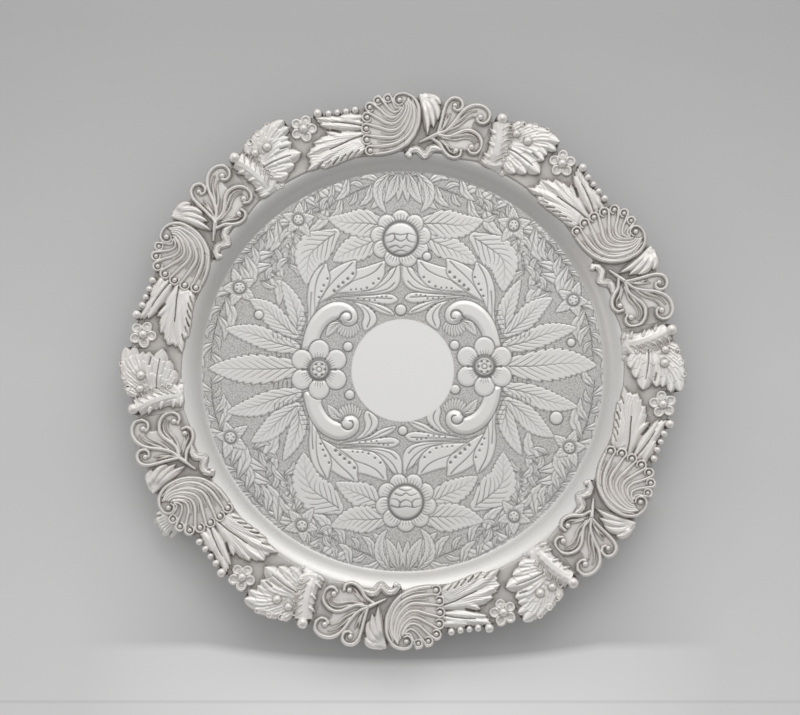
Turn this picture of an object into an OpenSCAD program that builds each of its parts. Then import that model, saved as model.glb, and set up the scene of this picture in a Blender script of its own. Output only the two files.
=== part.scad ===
// Silver salver: a raised tray plate on three cast feet, with a border of six cast sections.
// The tray lies flat: +Z is up, the floor is z = 0 and the middle of the tray is on the Z axis.
// The middle of the first section's shell points along +Y.

/* [Tray plate] */
// Diameter over the highest scallops of the border
overall_d = 280; // [240:1:320]
// Thickness of the silver sheet
sheet_t = 1.2; // [1:0.1:1.6]
// Height that the bouge lifts the flange above the field
bouge_rise = 5; // [3:0.5:8]

/* [Border] */
// Thickness of a section's panel
panel_t = 1.6; // [1.2:0.1:2.2]
// Height of the tallest ornament above the panel
relief_h = 5.5; // [4:0.5:7]
// Gap at the seam between two sections
seam_gap = 0.1; // [0.05:0.05:0.3]

/* [Pins] */
// Diameter of a pin's shank
pin_d = 1.6; // [1.2:0.1:2]
// Diameter of a pin's two heads
pin_head_d = 2.8; // [2.4:0.1:3.2]
// Height of a pin's head
pin_head_h = 0.5; // [0.3:0.1:0.8]

/* [Feet] */
// Height from the floor to the underside of the flange
foot_h = 22; // [16:1:28]
// Width of a foot's leg
leg_w = 9; // [7:0.5:12]
// Thickness of the plate that holds a foot to the flange
foot_plate_t = 1.8; // [1.2:0.1:2.5]

/* [Hidden] */

// Plan sizes below are for a 280 mm salver and grow with it
plan = overall_d / 280;
sections = 6;
section_angle = 360 / sections;
// Angle of the seam after the first shell, clockwise from it
seam_angle = 70.5;
// Angle and radius of the pin in the first section
pin_angle = 123.3;
pin_r = 110.9 * plan;
pin_fit = 0.1;
pin_lug_r = 2.2 * plan;

// Radii of the tray plate
field_r = 100.5 * plan;
bouge_r = 106.5 * plan;
flange_r = 130 * plan;
edge_round = sheet_t / 2;
bouge_steps = 10;

// Levels above the floor
flange_z = foot_h + sheet_t;
panel_z = flange_z + panel_t;
field_under_z = foot_h - bouge_rise;

foot_angles = [93, 213, 333];
foot_r = 130 * plan;
toe_r = 2.6;
sole_t = 1.2;

silver = [0.80, 0.79, 0.78];
cast_silver = [0.72, 0.71, 0.70];
pin_silver = [0.60, 0.59, 0.58];
foot_silver = [0.66, 0.65, 0.64];

// ---- outlines -------------------------------------------------------------------------------

function unit(v) = v / norm(v);
function left_of(v) = [-v[1], v[0]];
function polar(r, a) = [r * cos(a), r * sin(a)];
function smooth(t) = t * t * (3 - 2 * t);

// One point of a Catmull-Rom curve between b and c
function curve_point(a, b, c, d, t) =
    0.5 * (2 * b + (c - a) * t + (2 * a - 5 * b + 4 * c - d) * t * t
        + (3 * b - a - 3 * c + d) * t * t * t);

// An open curve through points, with a few steps from each point to the next
function open_curve(p, steps = 3) =
    let (n = len(p) - 1)
    [for (i = [0 : n - 1], k = [0 : steps - 1])
        curve_point(p[max(i - 1, 0)], p[i], p[i + 1], p[min(i + 2, n)], k / steps),
     p[n]];

// A closed curve through points
function closed_curve(p, steps = 3) =
    let (n = len(p))
    [for (i = [0 : n - 1], k = [0 : steps - 1])
        curve_point(p[(i + n - 1) % n], p[i], p[(i + 1) % n], p[(i + 2) % n], k / steps)];

function direction(p, i) = unit(p[min(i + 1, len(p) - 1)] - p[max(i - 1, 0)]);

// The outline of a band along a curve, w0 wide at its start and w1 at its end
function band(p, w0, w1) =
    let (n = len(p) - 1)
    concat(
        [for (i = [0 : n]) p[i] + left_of(direction(p, i)) * (w0 + (w1 - w0) * i / n) / 2],
        [for (j = [0 : n]) let (i = n - j)
            p[i] - left_of(direction(p, i)) * (w0 + (w1 - w0) * i / n) / 2]);

// ---- shapes of the border -------------------------------------------------------------------

// The wedge between the two seams of the first section
module between_seams() {
    half = section_angle / 2;
    reach = overall_d;
    mid = seam_angle + half;
    translate(polar(seam_gap, mid))
        polygon([[0, 0], polar(reach, mid - half), polar(reach, mid + half)]);
}

// A flat ornament that stands h above the panel
module raised(outline, h, turn = 0) {
    translate([0, 0, flange_z + panel_t / 2])
        linear_extrude(panel_t / 2 + h)
            intersection() {
                rotate(turn) polygon(outline * plan);
                between_seams();
            }
}

// A scroll that stands h above the panel
module scroll(p, w0, w1, h, turn = 0) {
    raised(band(open_curve(p), w0, w1), h, turn);
}

// A ball that stands on the panel
module bead(at, r, h = 0) {
    translate([at[0] * plan, at[1] * plan, panel_z + h])
        sphere(r = r * plan, $fn = 32);
}

// The panel of one section, from seam to seam, as [angle, radius] pairs
panel_outer = [
    [73.3, 138.6], [75.8, 136.2], [78.9, 139.2], [81.6, 137.2], [84.5, 138.9], [90, 139.4],
    [94, 137.5], [97.5, 135], [99.5, 133.6], [103.5, 133.4], [106, 133.2], [108.3, 136.8],
    [111, 136], [113.5, 136], [115.6, 137.6], [118, 139.4], [121.4, 139.2], [124.4, 138.4],
    [128.3, 138.2]
];
panel_inner = [
    [128, 110], [117, 109.5], [113.5, 109.2], [107, 108.2], [101.5, 107.2],
    [97.5, 107], [92, 109.4], [88.5, 107.4], [84.2, 106.6], [80, 109.6], [76, 107.6],
    [73, 109.6]
];
panel_outline = [for (q = concat(
    [[seam_angle, 135.6]], panel_outer, [[seam_angle + section_angle, 136.4]],
    [[seam_angle + section_angle, 110.9]], panel_inner, [[seam_angle, 111.4]]))
    polar(q[1], q[0])];

module panel() {
    translate([0, 0, flange_z])
        linear_extrude(panel_t)
            difference() {
                union() {
                    intersection() {
                        polygon(panel_outline * plan);
                        between_seams();
                    }
                    translate(polar(pin_r, pin_angle)) circle(r = pin_lug_r, $fn = 32);
                }
                translate(polar(pin_r, pin_angle)) circle(d = pin_d + pin_fit, $fn = 32);
            }
}

shell_edge = [
    [3, 138.8], [7.4, 135.2], [9.1, 129], [8.8, 123], [6.4, 117.6], [2, 113],
    [-4, 110], [-10, 108.4], [-16.5, 107.6], [-19, 110], [-18, 112.9], [-20.6, 115.6],
    [-19.4, 118.6], [-21, 121.4], [-19.8, 124.6], [-21, 127.4], [-18.8, 130.4],
    [-18.6, 133.6], [-15.2, 134.8], [-13.4, 136.6], [-10, 136], [-8, 137], [-4.4, 136.6]
];
shell_bead = [-1.6, 135.6];
shell_rim = [
    [-14, 109.1], [-8, 109.9], [-2.5, 111.7], [2.6, 115], [6, 119.6], [7.7, 125],
    [7.9, 130], [6.4, 134.6], [3.2, 137.8], [-0.6, 138.8], [-3.8, 137.2], [-4.2, 134]
];
shell_flutes = [
    [[-17, 113.7], [-9, 114.4], [-3, 114.9], [2, 118.2], [5, 123.6], [5.6, 129]],
    [[-18, 118.6], [-11, 118.6], [-5, 118.2], [-0.5, 120], [2.4, 124.2], [3.2, 129]],
    [[-18.4, 124.2], [-12.5, 122.8], [-7.5, 121.5], [-3.4, 122], [-0.4, 125], [0.9, 129.4]],
    [[-17.6, 129.8], [-13.4, 128.4], [-9, 126.2], [-5, 125.6], [-2.2, 127.6], [-1, 130.4]],
    [[-15, 133.8], [-11, 131.6], [-7.4, 129.4], [-4, 129.2]],
    [[-10.8, 135.4], [-8.6, 133.2], [-6, 131.2]]
];
flute_beads = [
    [-16.4, 110.1], [-18.2, 115.5], [-18.3, 121.2], [-18.2, 127], [-17, 132], [-13, 134.8],
    [-8, 135.6]
];

module shell() {
    raised(closed_curve(shell_edge, 2), 1.6);
    scroll(shell_rim, 2.2, 1.8, relief_h * 0.82);
    for (k = [0 : len(shell_flutes) - 1])
        scroll(shell_flutes[k], 1.7, 1, 3.6 - 0.18 * k);
    for (k = [0 : len(flute_beads) - 1])
        bead(flute_beads[k], 1.3, 1.7 - 0.03 * k);
    bead(shell_bead, 2.1, relief_h - 2.1 * plan);
}

back_leaf = [
    [8, 136.6], [13, 137.6], [18, 135.4], [19.2, 132], [17.2, 128], [16.8, 123.6],
    [14.8, 120.4], [11.6, 117.8], [9, 117.2], [10, 122], [10.2, 128], [9.6, 132]
];

palmette_scrolls = [
    [[17.6, 119.6], [19.2, 125], [20.6, 130.4], [22.6, 134.6], [26, 136.8], [29.4, 135],
     [29.5, 131.9], [27, 130.4]],
    [[18.4, 119.2], [22.6, 121], [26.4, 125.4], [29.4, 129.4], [33, 132.4], [37, 133.3],
     [41, 132], [43.4, 128.9], [42.8, 125.6], [40.2, 124]],
    [[19, 118], [24, 117.9], [28, 119.4], [32, 120.6], [36, 119.7], [38.6, 117],
     [39, 113.2], [37.7, 109.8], [35, 108.5]],
    [[15.4, 116.4], [18.2, 114.1], [20.4, 110.4], [23, 107.9], [26, 106.9], [28.6, 108.4]]
];
palmette_beads = [[26.3, 132.9], [38.7, 127], [33.9, 111.8], [27, 110.7]];
palmette_web = [
    [17.5, 117.2], [24, 111], [28, 110.6], [35, 110.2], [38.5, 114], [36, 119],
    [35, 124], [40, 127], [37, 131.6], [31, 129.6], [27, 131.8], [23.4, 131]
];

module palmette() {
    raised(back_leaf, 1.3);
    raised(palmette_web, 0.7);
    scroll([[9.4, 115], [12.6, 116.4], [16.4, 118.4]], 1.4, 2.4, 2.4);
    for (k = [0 : 3])
        scroll(palmette_scrolls[k], 2, 1.6, 3 + 0.25 * k);
    for (k = [0 : 3])
        bead(palmette_beads[k], 1.8, 1.4 + 0.1 * k);
}

small_leaf = [
    [3, 108.4], [4.4, 111.4], [7.4, 112.6], [9.6, 111.6], [12.2, 112.9], [15, 112.6],
    [18.2, 110.4], [16, 109.9], [13.8, 109.6], [12.3, 107], [10.6, 107], [9, 109.2],
    [6.6, 109.2], [5, 107.8]
];

upper_lobe = [
    [-21.6, 118], [-26, 118.4], [-31, 119.6], [-36, 120.3], [-40.5, 121.6], [-43, 124.4],
    [-42, 127.4], [-36, 127.8], [-29, 127.6], [-23.4, 127]
];
lower_lobe = [
    [-21.2, 116.8], [-28, 118.6], [-35, 119.2], [-39.8, 118.2], [-41, 115.5], [-45.6, 113],
    [-48, 109], [-46.4, 107], [-46.8, 103.2], [-46.9, 100.8], [-42, 101.5], [-38.4, 101.8],
    [-34.6, 104.8], [-31, 105.4], [-28.4, 106.6], [-24.6, 106.6], [-21.4, 107.4],
    [-19.6, 109.8], [-20.4, 113]
];
edge_beads = [[-42.3, 129.2], [-36.6, 128.2], [-31.6, 129.3], [-27.3, 129.4], [-23.4, 130.8]];
edge_bead_r = [2.2, 1.4, 1.5, 1.5, 1.7];

module two_lobed_leaf() {
    raised(upper_lobe, 2.1);
    raised(lower_lobe, 1.8);
    scroll([[-21.6, 117.4], [-27, 116.2], [-34, 113.6], [-41, 109.6], [-46, 106.8]], 1.6, 1, 2.8);
    for (k = [0 : len(edge_beads) - 1])
        bead(edge_beads[k], edge_bead_r[k], 0.9 + 0.05 * k);
}

flower_at = [-49.6, 121.2];
petals = 5;

module flower() {
    for (k = [0 : petals - 1])
        bead(flower_at + polar(4, 70 + k * 360 / petals), 2, 0.7);
    bead(flower_at, 2.2, 1);
}

// The rolled leaf belongs to the next seam, so its points are a sixth of a turn behind
leaf_blade = [
    [40.2, 105.6], [44.4, 101.6], [49, 101.2], [55, 98.4], [56.6, 101], [60.6, 98.2],
    [63, 99.6], [68, 97.8], [69, 101], [67.4, 105], [69.8, 108], [69.6, 112], [66.6, 114],
    [69, 118], [71.6, 118], [67.4, 119.6], [66.4, 121.6], [61.6, 121.8], [59.6, 124],
    [54.6, 124], [51, 120], [48, 113]
];
roll_from = [43.6, 105.6];
roll_to = [48.4, 124];
roll_r = 3.2;
// Height of the roll's axis above the panel
roll_lift = 2.1;
roll_bead = [49.2, 126.2];
berries = [[56.6, 117.8], [61.8, 115.4]];
leaf_ribs = [
    [[51, 104.6], [57, 102], [61, 98.8]],
    [[51.4, 107.6], [59.6, 104], [67.4, 99.4]],
    [[52, 110.6], [60, 109.6], [68.6, 111]],
    [[52.6, 119.4], [58, 121.6], [66, 120.6]]
];

module rolled_leaf() {
    raised(leaf_blade, 1.5, section_angle);
    for (k = [0 : len(leaf_ribs) - 1])
        scroll(leaf_ribs[k], 2, 1.2, 2.6 + 0.15 * k, section_angle);
    rotate([0, 0, section_angle]) {
        translate([roll_from[0] * plan, roll_from[1] * plan, panel_z + roll_lift])
            rotate([0, 90, atan2(roll_to[1] - roll_from[1], roll_to[0] - roll_from[0])])
                cylinder(r = roll_r * plan, h = norm(roll_to - roll_from) * plan, $fn = 48);
        bead(roll_bead, 2.4, 1.6);
        for (at = berries)
            bead(at, 1.9, 1.4);
    }
}

module pin_place(k) {
    rotate([0, 0, pin_angle - k * section_angle])
        translate([pin_r, 0, 0])
            children();
}

module border_section(k) {
    color(cast_silver)
        rotate([0, 0, -k * section_angle]) {
            panel();
            shell();
            palmette();
            raised(small_leaf, 2.2);
            two_lobed_leaf();
            flower();
            rolled_leaf();
        }
}

// ---- tray plate, pins and feet --------------------------------------------------------------

function bouge(from_z) = [for (i = [0 : bouge_steps])
    let (t = i / bouge_steps)
    [field_r + (bouge_r - field_r) * t, from_z + bouge_rise * smooth(t)]];

module tray_plate() {
    under = bouge(field_under_z);
    top = bouge(field_under_z + sheet_t);
    edge = [for (a = [-60 : 30 : 60])
        [flange_r + edge_round * cos(a), foot_h + edge_round + edge_round * sin(a)]];
    color(silver)
        difference() {
            rotate_extrude($fn = 180)
                polygon(concat(
                    [[0, field_under_z]], under, [[flange_r, foot_h]], edge,
                    [[flange_r, flange_z]],
                    [for (i = [0 : bouge_steps]) top[bouge_steps - i]],
                    [[0, field_under_z + sheet_t]]));
            for (k = [0 : sections - 1])
                pin_place(k)
                    cylinder(d = pin_d + pin_fit, h = foot_h * 2, $fn = 32);
        }
}

module border_pins() {
    color(pin_silver)
        for (k = [0 : sections - 1])
            pin_place(k)
                translate([0, 0, foot_h - pin_head_h]) {
                    cylinder(d = pin_head_d, h = pin_head_h, $fn = 32);
                    cylinder(d = pin_d, h = panel_t + sheet_t + 2 * pin_head_h, $fn = 32);
                    translate([0, 0, panel_t + sheet_t + pin_head_h])
                        cylinder(d = pin_head_d, h = pin_head_h, $fn = 32);
                }
}

// Side view of a leg: distance out from the foot's own radius, and height as a share of foot_h
leg_side = [
    [-13, 1], [-11, 0.90], [-4, 0.80], [-1.6, 0.62], [-1.4, 0.42], [0.4, 0.22], [2, 0.06],
    [9.2, 0.06], [9.6, 0.16], [7.2, 0.30], [5, 0.44], [4.8, 0.60], [6.2, 0.74], [6, 0.88],
    [2, 1]
];

module foot(k) {
    color(foot_silver)
        rotate([0, 0, foot_angles[k]])
            translate([foot_r, 0, 0]) {
                // leaf-shaped plate against the flange
                translate([0, 0, foot_h - foot_plate_t])
                    linear_extrude(foot_plate_t)
                        polygon(closed_curve([
                            [-21, 0], [-17, 5], [-9, 9], [-2, 8], [-0.6, 0], [-2, -8],
                            [-9, -9], [-17, -5]], 4));
                // leg
                translate([0, leg_w / 2, 0])
                    rotate([90, 0, 0])
                        linear_extrude(leg_w)
                            polygon([for (q = leg_side) [q[0], q[1] * foot_h]]);
                // sole and toes
                linear_extrude(sole_t)
                    polygon(closed_curve([
                        [-0.4, -5.4], [5, -6.8], [9, -5.4], [10, 0], [9, 5.4], [5, 6.8],
                        [-0.4, 5.4], [-1.4, 0]], 4));
                for (t = [-1.5 : 1 : 1.5])
                    translate([8.4 - abs(t) * 0.8, t * 3.7, toe_r + 0.3])
                        sphere(r = toe_r, $fn = 32);
                // knee
                translate([2.2, (leg_w + 2) / 2, foot_h * 0.78])
                    rotate([90, 0, 0])
                        cylinder(r = 4.3, h = leg_w + 2, $fn = 40);
            }
}

tray_plate();
border_section(0);  // border_section_1
border_section(1);  // border_section_2
border_section(2);  // border_section_3
border_section(3);  // border_section_4
border_section(4);  // border_section_5
border_section(5);  // border_section_6
border_pins();
foot(0);  // foot_1
foot(1);  // foot_2
foot(2);  // foot_3
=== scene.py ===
"""Looks of a silver salver: a chased tray with a cast and applied border on three cast feet.

All shapes are worked out in millimetres in the plan of the object and made in metres.
"""

import math

import bpy
import numpy as np
from mathutils import Matrix, Vector


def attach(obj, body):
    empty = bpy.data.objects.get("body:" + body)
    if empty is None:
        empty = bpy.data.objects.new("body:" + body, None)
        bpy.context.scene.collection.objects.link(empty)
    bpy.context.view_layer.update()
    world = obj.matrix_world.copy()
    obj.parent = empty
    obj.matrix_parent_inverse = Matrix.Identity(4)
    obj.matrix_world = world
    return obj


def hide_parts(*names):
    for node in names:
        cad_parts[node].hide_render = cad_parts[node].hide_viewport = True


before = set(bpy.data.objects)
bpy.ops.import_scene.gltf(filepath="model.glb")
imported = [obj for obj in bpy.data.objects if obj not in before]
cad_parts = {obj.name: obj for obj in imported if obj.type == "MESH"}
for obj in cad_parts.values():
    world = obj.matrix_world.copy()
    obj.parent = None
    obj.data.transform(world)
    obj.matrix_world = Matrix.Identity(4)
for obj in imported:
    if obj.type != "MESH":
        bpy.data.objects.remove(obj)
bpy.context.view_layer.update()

MM = 0.001

# ---- sizes of the salver, in millimetres and degrees ----------------------------------------

FLANGE_Z = 23.2     # top of the tray's flange, where the border sits
FLANGE_R = 130.0
FIELD_Z = 18.0      # matted ground of the chased field
FIELD_R = 100.5
BOUGE_R = 106.5     # outer end of the curved step between field and flange
SHEET_T = 1.2
RESERVE_R = 25.8    # plain disc in the middle of the field
LEAF_H = 0.12       # height of the field's flat leaves
LEAF_END_R = 97.8   # the field's leaves end here
SECTION = 60.0      # angle that one section of the border covers
SEAM = 70.5         # angle where the first section starts
SEAM_GAP = 0.04     # left open at each side of a seam
PANEL_T = 1.6       # thickness of the border's panel
EDGE_SHARE = 0.35   # share of that thickness at the panel's rounded edge
PIN_R = 110.9
PIN_ANGLE = 123.3   # of the pin in the first section
FOOT_R = 130.0
FOOT_H = 22.0
FOOT_ANGLES = (93, 213, 333)
BENT_FOOT = 213     # the foot whose leaves stand out past the border


# ---- curves and relief ----------------------------------------------------------------------
# The relief is worked out in millimetres in plan, and heights are millimetres above the surface
# that carries it.


def smooth(t):
    t = np.clip(t, 0, 1)
    return t * t * (3 - 2 * t)


def curve(points, step=0.6, closed=False):
    """A Catmull-Rom curve through points, with a sample about every step millimetres."""
    p = np.asarray(points, float)
    before = p[-1:] if closed else 2 * p[:1] - p[1:2]
    after = p[:2] if closed else 2 * p[-1:] - p[-2:-1]
    q = np.vstack([before, p, after])
    out = []
    for a, b, c, d in zip(q[:-3], q[1:-2], q[2:-1], q[3:]):
        n = max(2, int(np.ceil(np.linalg.norm(c - b) / step)))
        t = (np.arange(n) / n)[:, None]
        out.append(0.5 * (2 * b + (c - a) * t + (2 * a - 5 * b + 4 * c - d) * t**2
                          + (3 * b - a - 3 * c + d) * t**3))
    out.append(out[0][:1] if closed else p[-1:])
    return np.vstack(out)


def arc(centre, radius, start, end, count):
    """Points on an arc, with angles in degrees."""
    a = np.radians(np.linspace(start, end, count))
    return np.array(centre) + radius * np.stack([np.cos(a), np.sin(a)], 1)


def around(centre, radius, angle, radius_y=None):
    """The point at a radius and an angle in degrees from a centre; radius_y makes it an oval."""
    a = math.radians(angle)
    return (centre[0] + radius * math.cos(a), centre[1] + (radius_y or radius) * math.sin(a))


class Relief:
    """Heights and tones over a set of plan points. Raised ornaments stand on the height base."""

    def __init__(self, x, y, base=0.0):
        self.x, self.y = x, y
        self.base = base
        self.z = np.zeros(x.shape)
        self.line = np.zeros(x.shape)   # 1 in a cut line
        self.cover = np.zeros(x.shape)  # 1 on an ornament
        self.tone = np.zeros(x.shape)   # how much lighter an ornament is

    def near(self, path, reach):
        """The numbers of the points in a path's box, grown by reach."""
        low, high = path.min(0) - reach, path.max(0) + reach
        return np.flatnonzero((self.x > low[0]) & (self.x < high[0])
                              & (self.y > low[1]) & (self.y < high[1]))

    def along(self, path, reach):
        """Points near a path: their numbers, side distance, share of its length, and length."""
        i = self.near(path, reach)
        a, b = path[:-1], path[1:]
        run = b - a
        size = np.maximum(np.hypot(*run.T), 1e-9)
        far = np.concatenate([[0], np.cumsum(size)])
        best = np.full(i.size, 1e9)
        side = np.zeros(i.size)
        share = np.zeros(i.size)
        for k in range(len(a)):
            dx, dy = self.x[i] - a[k, 0], self.y[i] - a[k, 1]
            t = np.clip((dx * run[k, 0] + dy * run[k, 1]) / size[k]**2, 0, 1)
            ex, ey = dx - t * run[k, 0], dy - t * run[k, 1]
            d = ex * ex + ey * ey
            closer = d < best
            best = np.where(closer, d, best)
            turn = run[k, 0] * dy - run[k, 1] * dx
            side = np.where(closer, np.sign(turn), side)
            share = np.where(closer, far[k] + t * size[k], share)
        return i, np.sqrt(best) * np.where(side == 0, 1, side), share / far[-1], far[-1]

    def rib(self, points, widths, h0, h1, power=0.55, blend=0.0):
        """A rounded rib along a curve, with widths at even steps. With power 0 its sides are hollow."""
        path = curve(points)
        i, d, t, _ = self.along(path, max(widths))
        half = np.interp(t, np.linspace(0, 1, len(widths)), widths) / 2
        s = np.abs(d) / half
        shape = np.clip(1 - s * s, 0, 1)**power if power else smooth(1 - s)
        top = self.base + (h0 + (h1 - h0) * t) * shape
        inside = s < 1
        self.raise_to(i[inside], top[inside], blend)

    def raise_to(self, i, z, blend=0.0):
        """Lifts the points i to z where that is higher, with a soft joint of width blend."""
        if blend:
            gap = np.clip(0.5 + 0.5 * (z - self.z[i]) / blend, 0, 1)
            self.z[i] = self.z[i] * (1 - gap) + z * gap + blend * gap * (1 - gap)
        else:
            self.z[i] = np.maximum(self.z[i], z)
        self.cover[i] = 1

    def ball(self, centre, radius, sink):
        """A bead: the upper part of a ball that stands on the base, sunk a little."""
        d = np.hypot(self.x - centre[0], self.y - centre[1])
        i = np.flatnonzero(d < radius)
        self.raise_to(i, self.base + radius - sink + np.sqrt(radius**2 - d[i]**2))

    def ring(self, centre, radius, width, height):
        d = np.abs(np.hypot(self.x - centre[0], self.y - centre[1]) - radius) / (width / 2)
        i = np.flatnonzero(d < 1)
        self.raise_to(i, self.base + height * (1 - d[i]**2)**0.6)

    def blade(self, points, width, height, root, full, power, blend, tip=1.7, crease=0.0, teeth=0,
              rise=0.45):
        """A leaf lobe along a curve, widest at the share full of its length, with a pointed tip.

        root is the share of the width at its root, crease is the depth of its midrib, and teeth is
        the number of teeth along each edge. It reaches its height at a third of its length, and
        rise is the share of the height that it gains on the way.
        """
        path = curve(points)
        i, d, t, length = self.along(path, width * 0.6)
        u = np.clip((t - full) / (1 - full), 0, 1)
        half = width / 2 * np.where(t < full, root + (1 - root) * smooth(t / full),
                                    np.clip(1 - u**tip, 0, 1)**0.75)
        top = height
        if teeth:
            phase = (t * length - np.abs(d) * 0.5) * teeth / length
            part = phase - np.floor(phase)
            half = half * (1 - 0.10 * (1 - part))
            fade = smooth(np.abs(d) / np.maximum(half, 1e-6) * 1.6)
            top = height * (1 - 0.09 * fade * (1 - part)**3)
        s = np.abs(d) / np.maximum(half, 1e-6)
        inside = s < 1
        top = top * np.clip(1 - s * s, 0, 1)**power * (1 - rise + rise * smooth(t * 3))
        if crease:
            top = top - crease * np.exp(-(d / (0.10 * width))**2) * (1 - u)
        self.raise_to(i[inside], self.base + top[inside], blend)

    def region(self, points, height, edge, closed_curve=True):
        """A plateau inside a closed outline with a rounded edge.

        Returns the numbers of the points inside and their distance from the outline.
        """
        path = curve(points, closed=True) if closed_curve else np.vstack([points, points[:1]])
        i, d, _, _ = self.along(path, 0.1)
        inside = self.inside(path, i)
        e = np.clip(np.abs(d) / edge, 0, 1)
        top = self.base + height * np.sqrt(np.clip(1 - (1 - e)**2, 0, 1))
        self.raise_to(i[inside], top[inside])
        return i[inside], np.abs(d[inside])

    def inside(self, path, i):
        """Which of the points i are inside a closed path."""
        x, y = self.x[i], self.y[i]
        odd = np.zeros(i.size, bool)
        for a, b in zip(path[:-1], path[1:]):
            cross = (a[1] > y) != (b[1] > y)
            with np.errstate(divide="ignore", invalid="ignore"):
                at = a[0] + (y - a[1]) * (b[0] - a[0]) / (b[1] - a[1])
            odd ^= cross & (x < at)
        return odd

    def cut(self, points, width, depth, w1=None):
        """An engraved line along a curve, which tapers to w1 at its far end."""
        w1 = width if w1 is None else w1
        i, d, t, _ = self.along(curve(points), max(width, w1) * 1.5)
        w = width + (w1 - width) * t
        self.score(i, np.exp(-(d / (0.6 * w))**2), depth)

    def score(self, i, profile, depth, strength=1.0):
        """Cuts the points i by a profile from 0 to 1; strength is how dark the cut is."""
        self.line[i] = np.maximum(self.line[i], strength * profile)
        self.z[i] -= depth * profile

    def lay(self, i, z, tone=0.0):
        """Lays an ornament of height z over whatever is at the points i."""
        self.z[i] = z
        self.cover[i] = 1
        self.line[i] = 0
        self.tone[i] = tone


# ---- border ---------------------------------------------------------------------------------
# The points below are in the plan of the first section, whose shell is near the +Y axis.


def turned(points):
    """Points turned anticlockwise by the angle of one section."""
    a = math.radians(SECTION)
    p = np.asarray(points, float)
    return np.stack([p[:, 0] * math.cos(a) - p[:, 1] * math.sin(a),
                     p[:, 0] * math.sin(a) + p[:, 1] * math.cos(a)], 1)


def hooked(bead, points, radius):
    """A ridge that passes over a bead, hooks round its far side and ends under it."""
    return [tuple(p) for p in arc(bead, radius, 318, 62, 13)] + points


def add_shell(r):
    """A scroll shell: hooked ridges that sweep from a rim of beads into a volute."""
    edge = [(3.5, 139.4), (7, 136.8), (9, 132.3), (9.5, 127), (8.6, 121.6), (6.2, 116.6), (2.4, 112.4),
            (-3, 109.5), (-9, 108), (-14, 107.4), (-17.6, 107.4), (-18.9, 109.6), (-18.6, 112.8),
            (-20.9, 115.3), (-19.9, 118.4), (-21.1, 121.2), (-20.1, 124.3), (-20.7, 127.3),
            (-18.9, 130.2), (-19, 133.2), (-15.8, 134.8), (-14.4, 137.3), (-10.6, 137.1),
            (-8.5, 138.4), (-5, 137.6), (-3, 139)]
    i, d = r.region(edge, 1.2, edge=1.0)
    dome = 1.2 * np.exp(-((r.x[i] - 4)**2 + (r.y[i] - 125)**2) / 11.0**2)
    r.z[i] += dome * np.clip(d / 3, 0, 1)
    beads = [(-16.4, 110.2), (-18.1, 115.6), (-18.4, 121.3), (-18, 127), (-16.6, 132.1),
             (-12.6, 135.4), (-7.6, 136.6)]
    ridges = [
        [(-10, 112.6), (-4.4, 113.6), (0.8, 116.4), (4.2, 120.8), (5.7, 126.4), (5.3, 132), (2.6, 136.6)],
        [(-11, 117), (-5, 116.8), (-1.2, 118.8), (1.9, 122.8), (3.7, 127.8), (4, 132.4), (2.4, 135.8)],
        [(-12, 121.9), (-7, 120.5), (-3, 121), (0.1, 124), (2.1, 128), (2.9, 132), (1.9, 134.8)],
        [(-12.6, 126.6), (-8, 124.2), (-4.3, 123.9), (-1.3, 126), (0.7, 129), (1.7, 132), (1.2, 134)],
        [(-11.6, 131), (-8.4, 128), (-5, 126.8), (-2.3, 128), (-0.6, 130.4), (0.3, 132.8)],
        [(-8.6, 133.4), (-6.4, 130.8), (-4, 129.5), (-2, 130.4), (-0.9, 132)],
        [(-4.9, 134.6), (-4.2, 132.8), (-3, 131.7), (-1.6, 132.1)],
    ]
    for k, (bead, points) in enumerate(zip(beads, ridges)):
        wide = 2.9 - 0.12 * k
        size = 1 - 0.05 * max(k - 3, 0)
        hook = hooked(bead, points, 2.3 * size)
        r.rib(hook, (1.5, 1.6, wide, wide, wide, wide, 2.0), 2.6, 3.4 - 0.03 * k, power=0.75, blend=0.2)
        r.rib(hook[:13], (1.6, 1.7, 1.9), 2.7, 2.8, power=0.7)
        # a sunk ring sets off the bead
        i = np.flatnonzero(np.hypot(r.x - bead[0], r.y - bead[1]) < 1.6 * size)
        r.z[i] = np.minimum(r.z[i], PANEL_T + 1.5)
        r.ball(bead, 1.35 * size, sink=-0.1)
    for points in [
        [(-11.4, 110.5), (-5, 111.4), (0.4, 114), (4.7, 118.6), (6.7, 124), (7, 129.6), (4.8, 135.6)],
        [(-12.4, 114.8), (-6, 114.9), (-1.4, 116.4), (2.2, 120), (4.5, 125), (4.9, 131), (3, 135.6)],
        [(-10.6, 119.3), (-6, 118.5), (-2.2, 119.7), (1, 123.2), (2.8, 128), (3.3, 132), (2.2, 135)],
        [(-11, 123.8), (-7, 121.9), (-3.7, 122.3), (-0.6, 124.9), (1.3, 128.6), (2.1, 132), (1.5, 134)],
        [(-10, 127.6), (-6.4, 125.4), (-3.4, 125.9), (-0.8, 128.6), (0.8, 132)],
    ]:
        r.rib(points, (1.3, 1.9, 1.4), 2.0, 2.95, power=0.75, blend=0.2)
    rim = [(-13.6, 108.5), (-9, 109), (-4, 110.4), (1, 113.1), (4.8, 117.1), (7.3, 122.2), (8.1, 127.5),
           (7.7, 132.5), (5.4, 136.7), (1.5, 138.9), (-2.3, 138.7), (-4.3, 136.8), (-4.1, 134.4),
           (-2.4, 133), (-0.4, 133.6)]
    r.rib(rim, (2.6, 3.0, 3.0, 2.6, 1.9), 2.5, 3.7, power=0.9)
    r.ball((-1.7, 135.7), 1.4, sink=-0.7)


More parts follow.
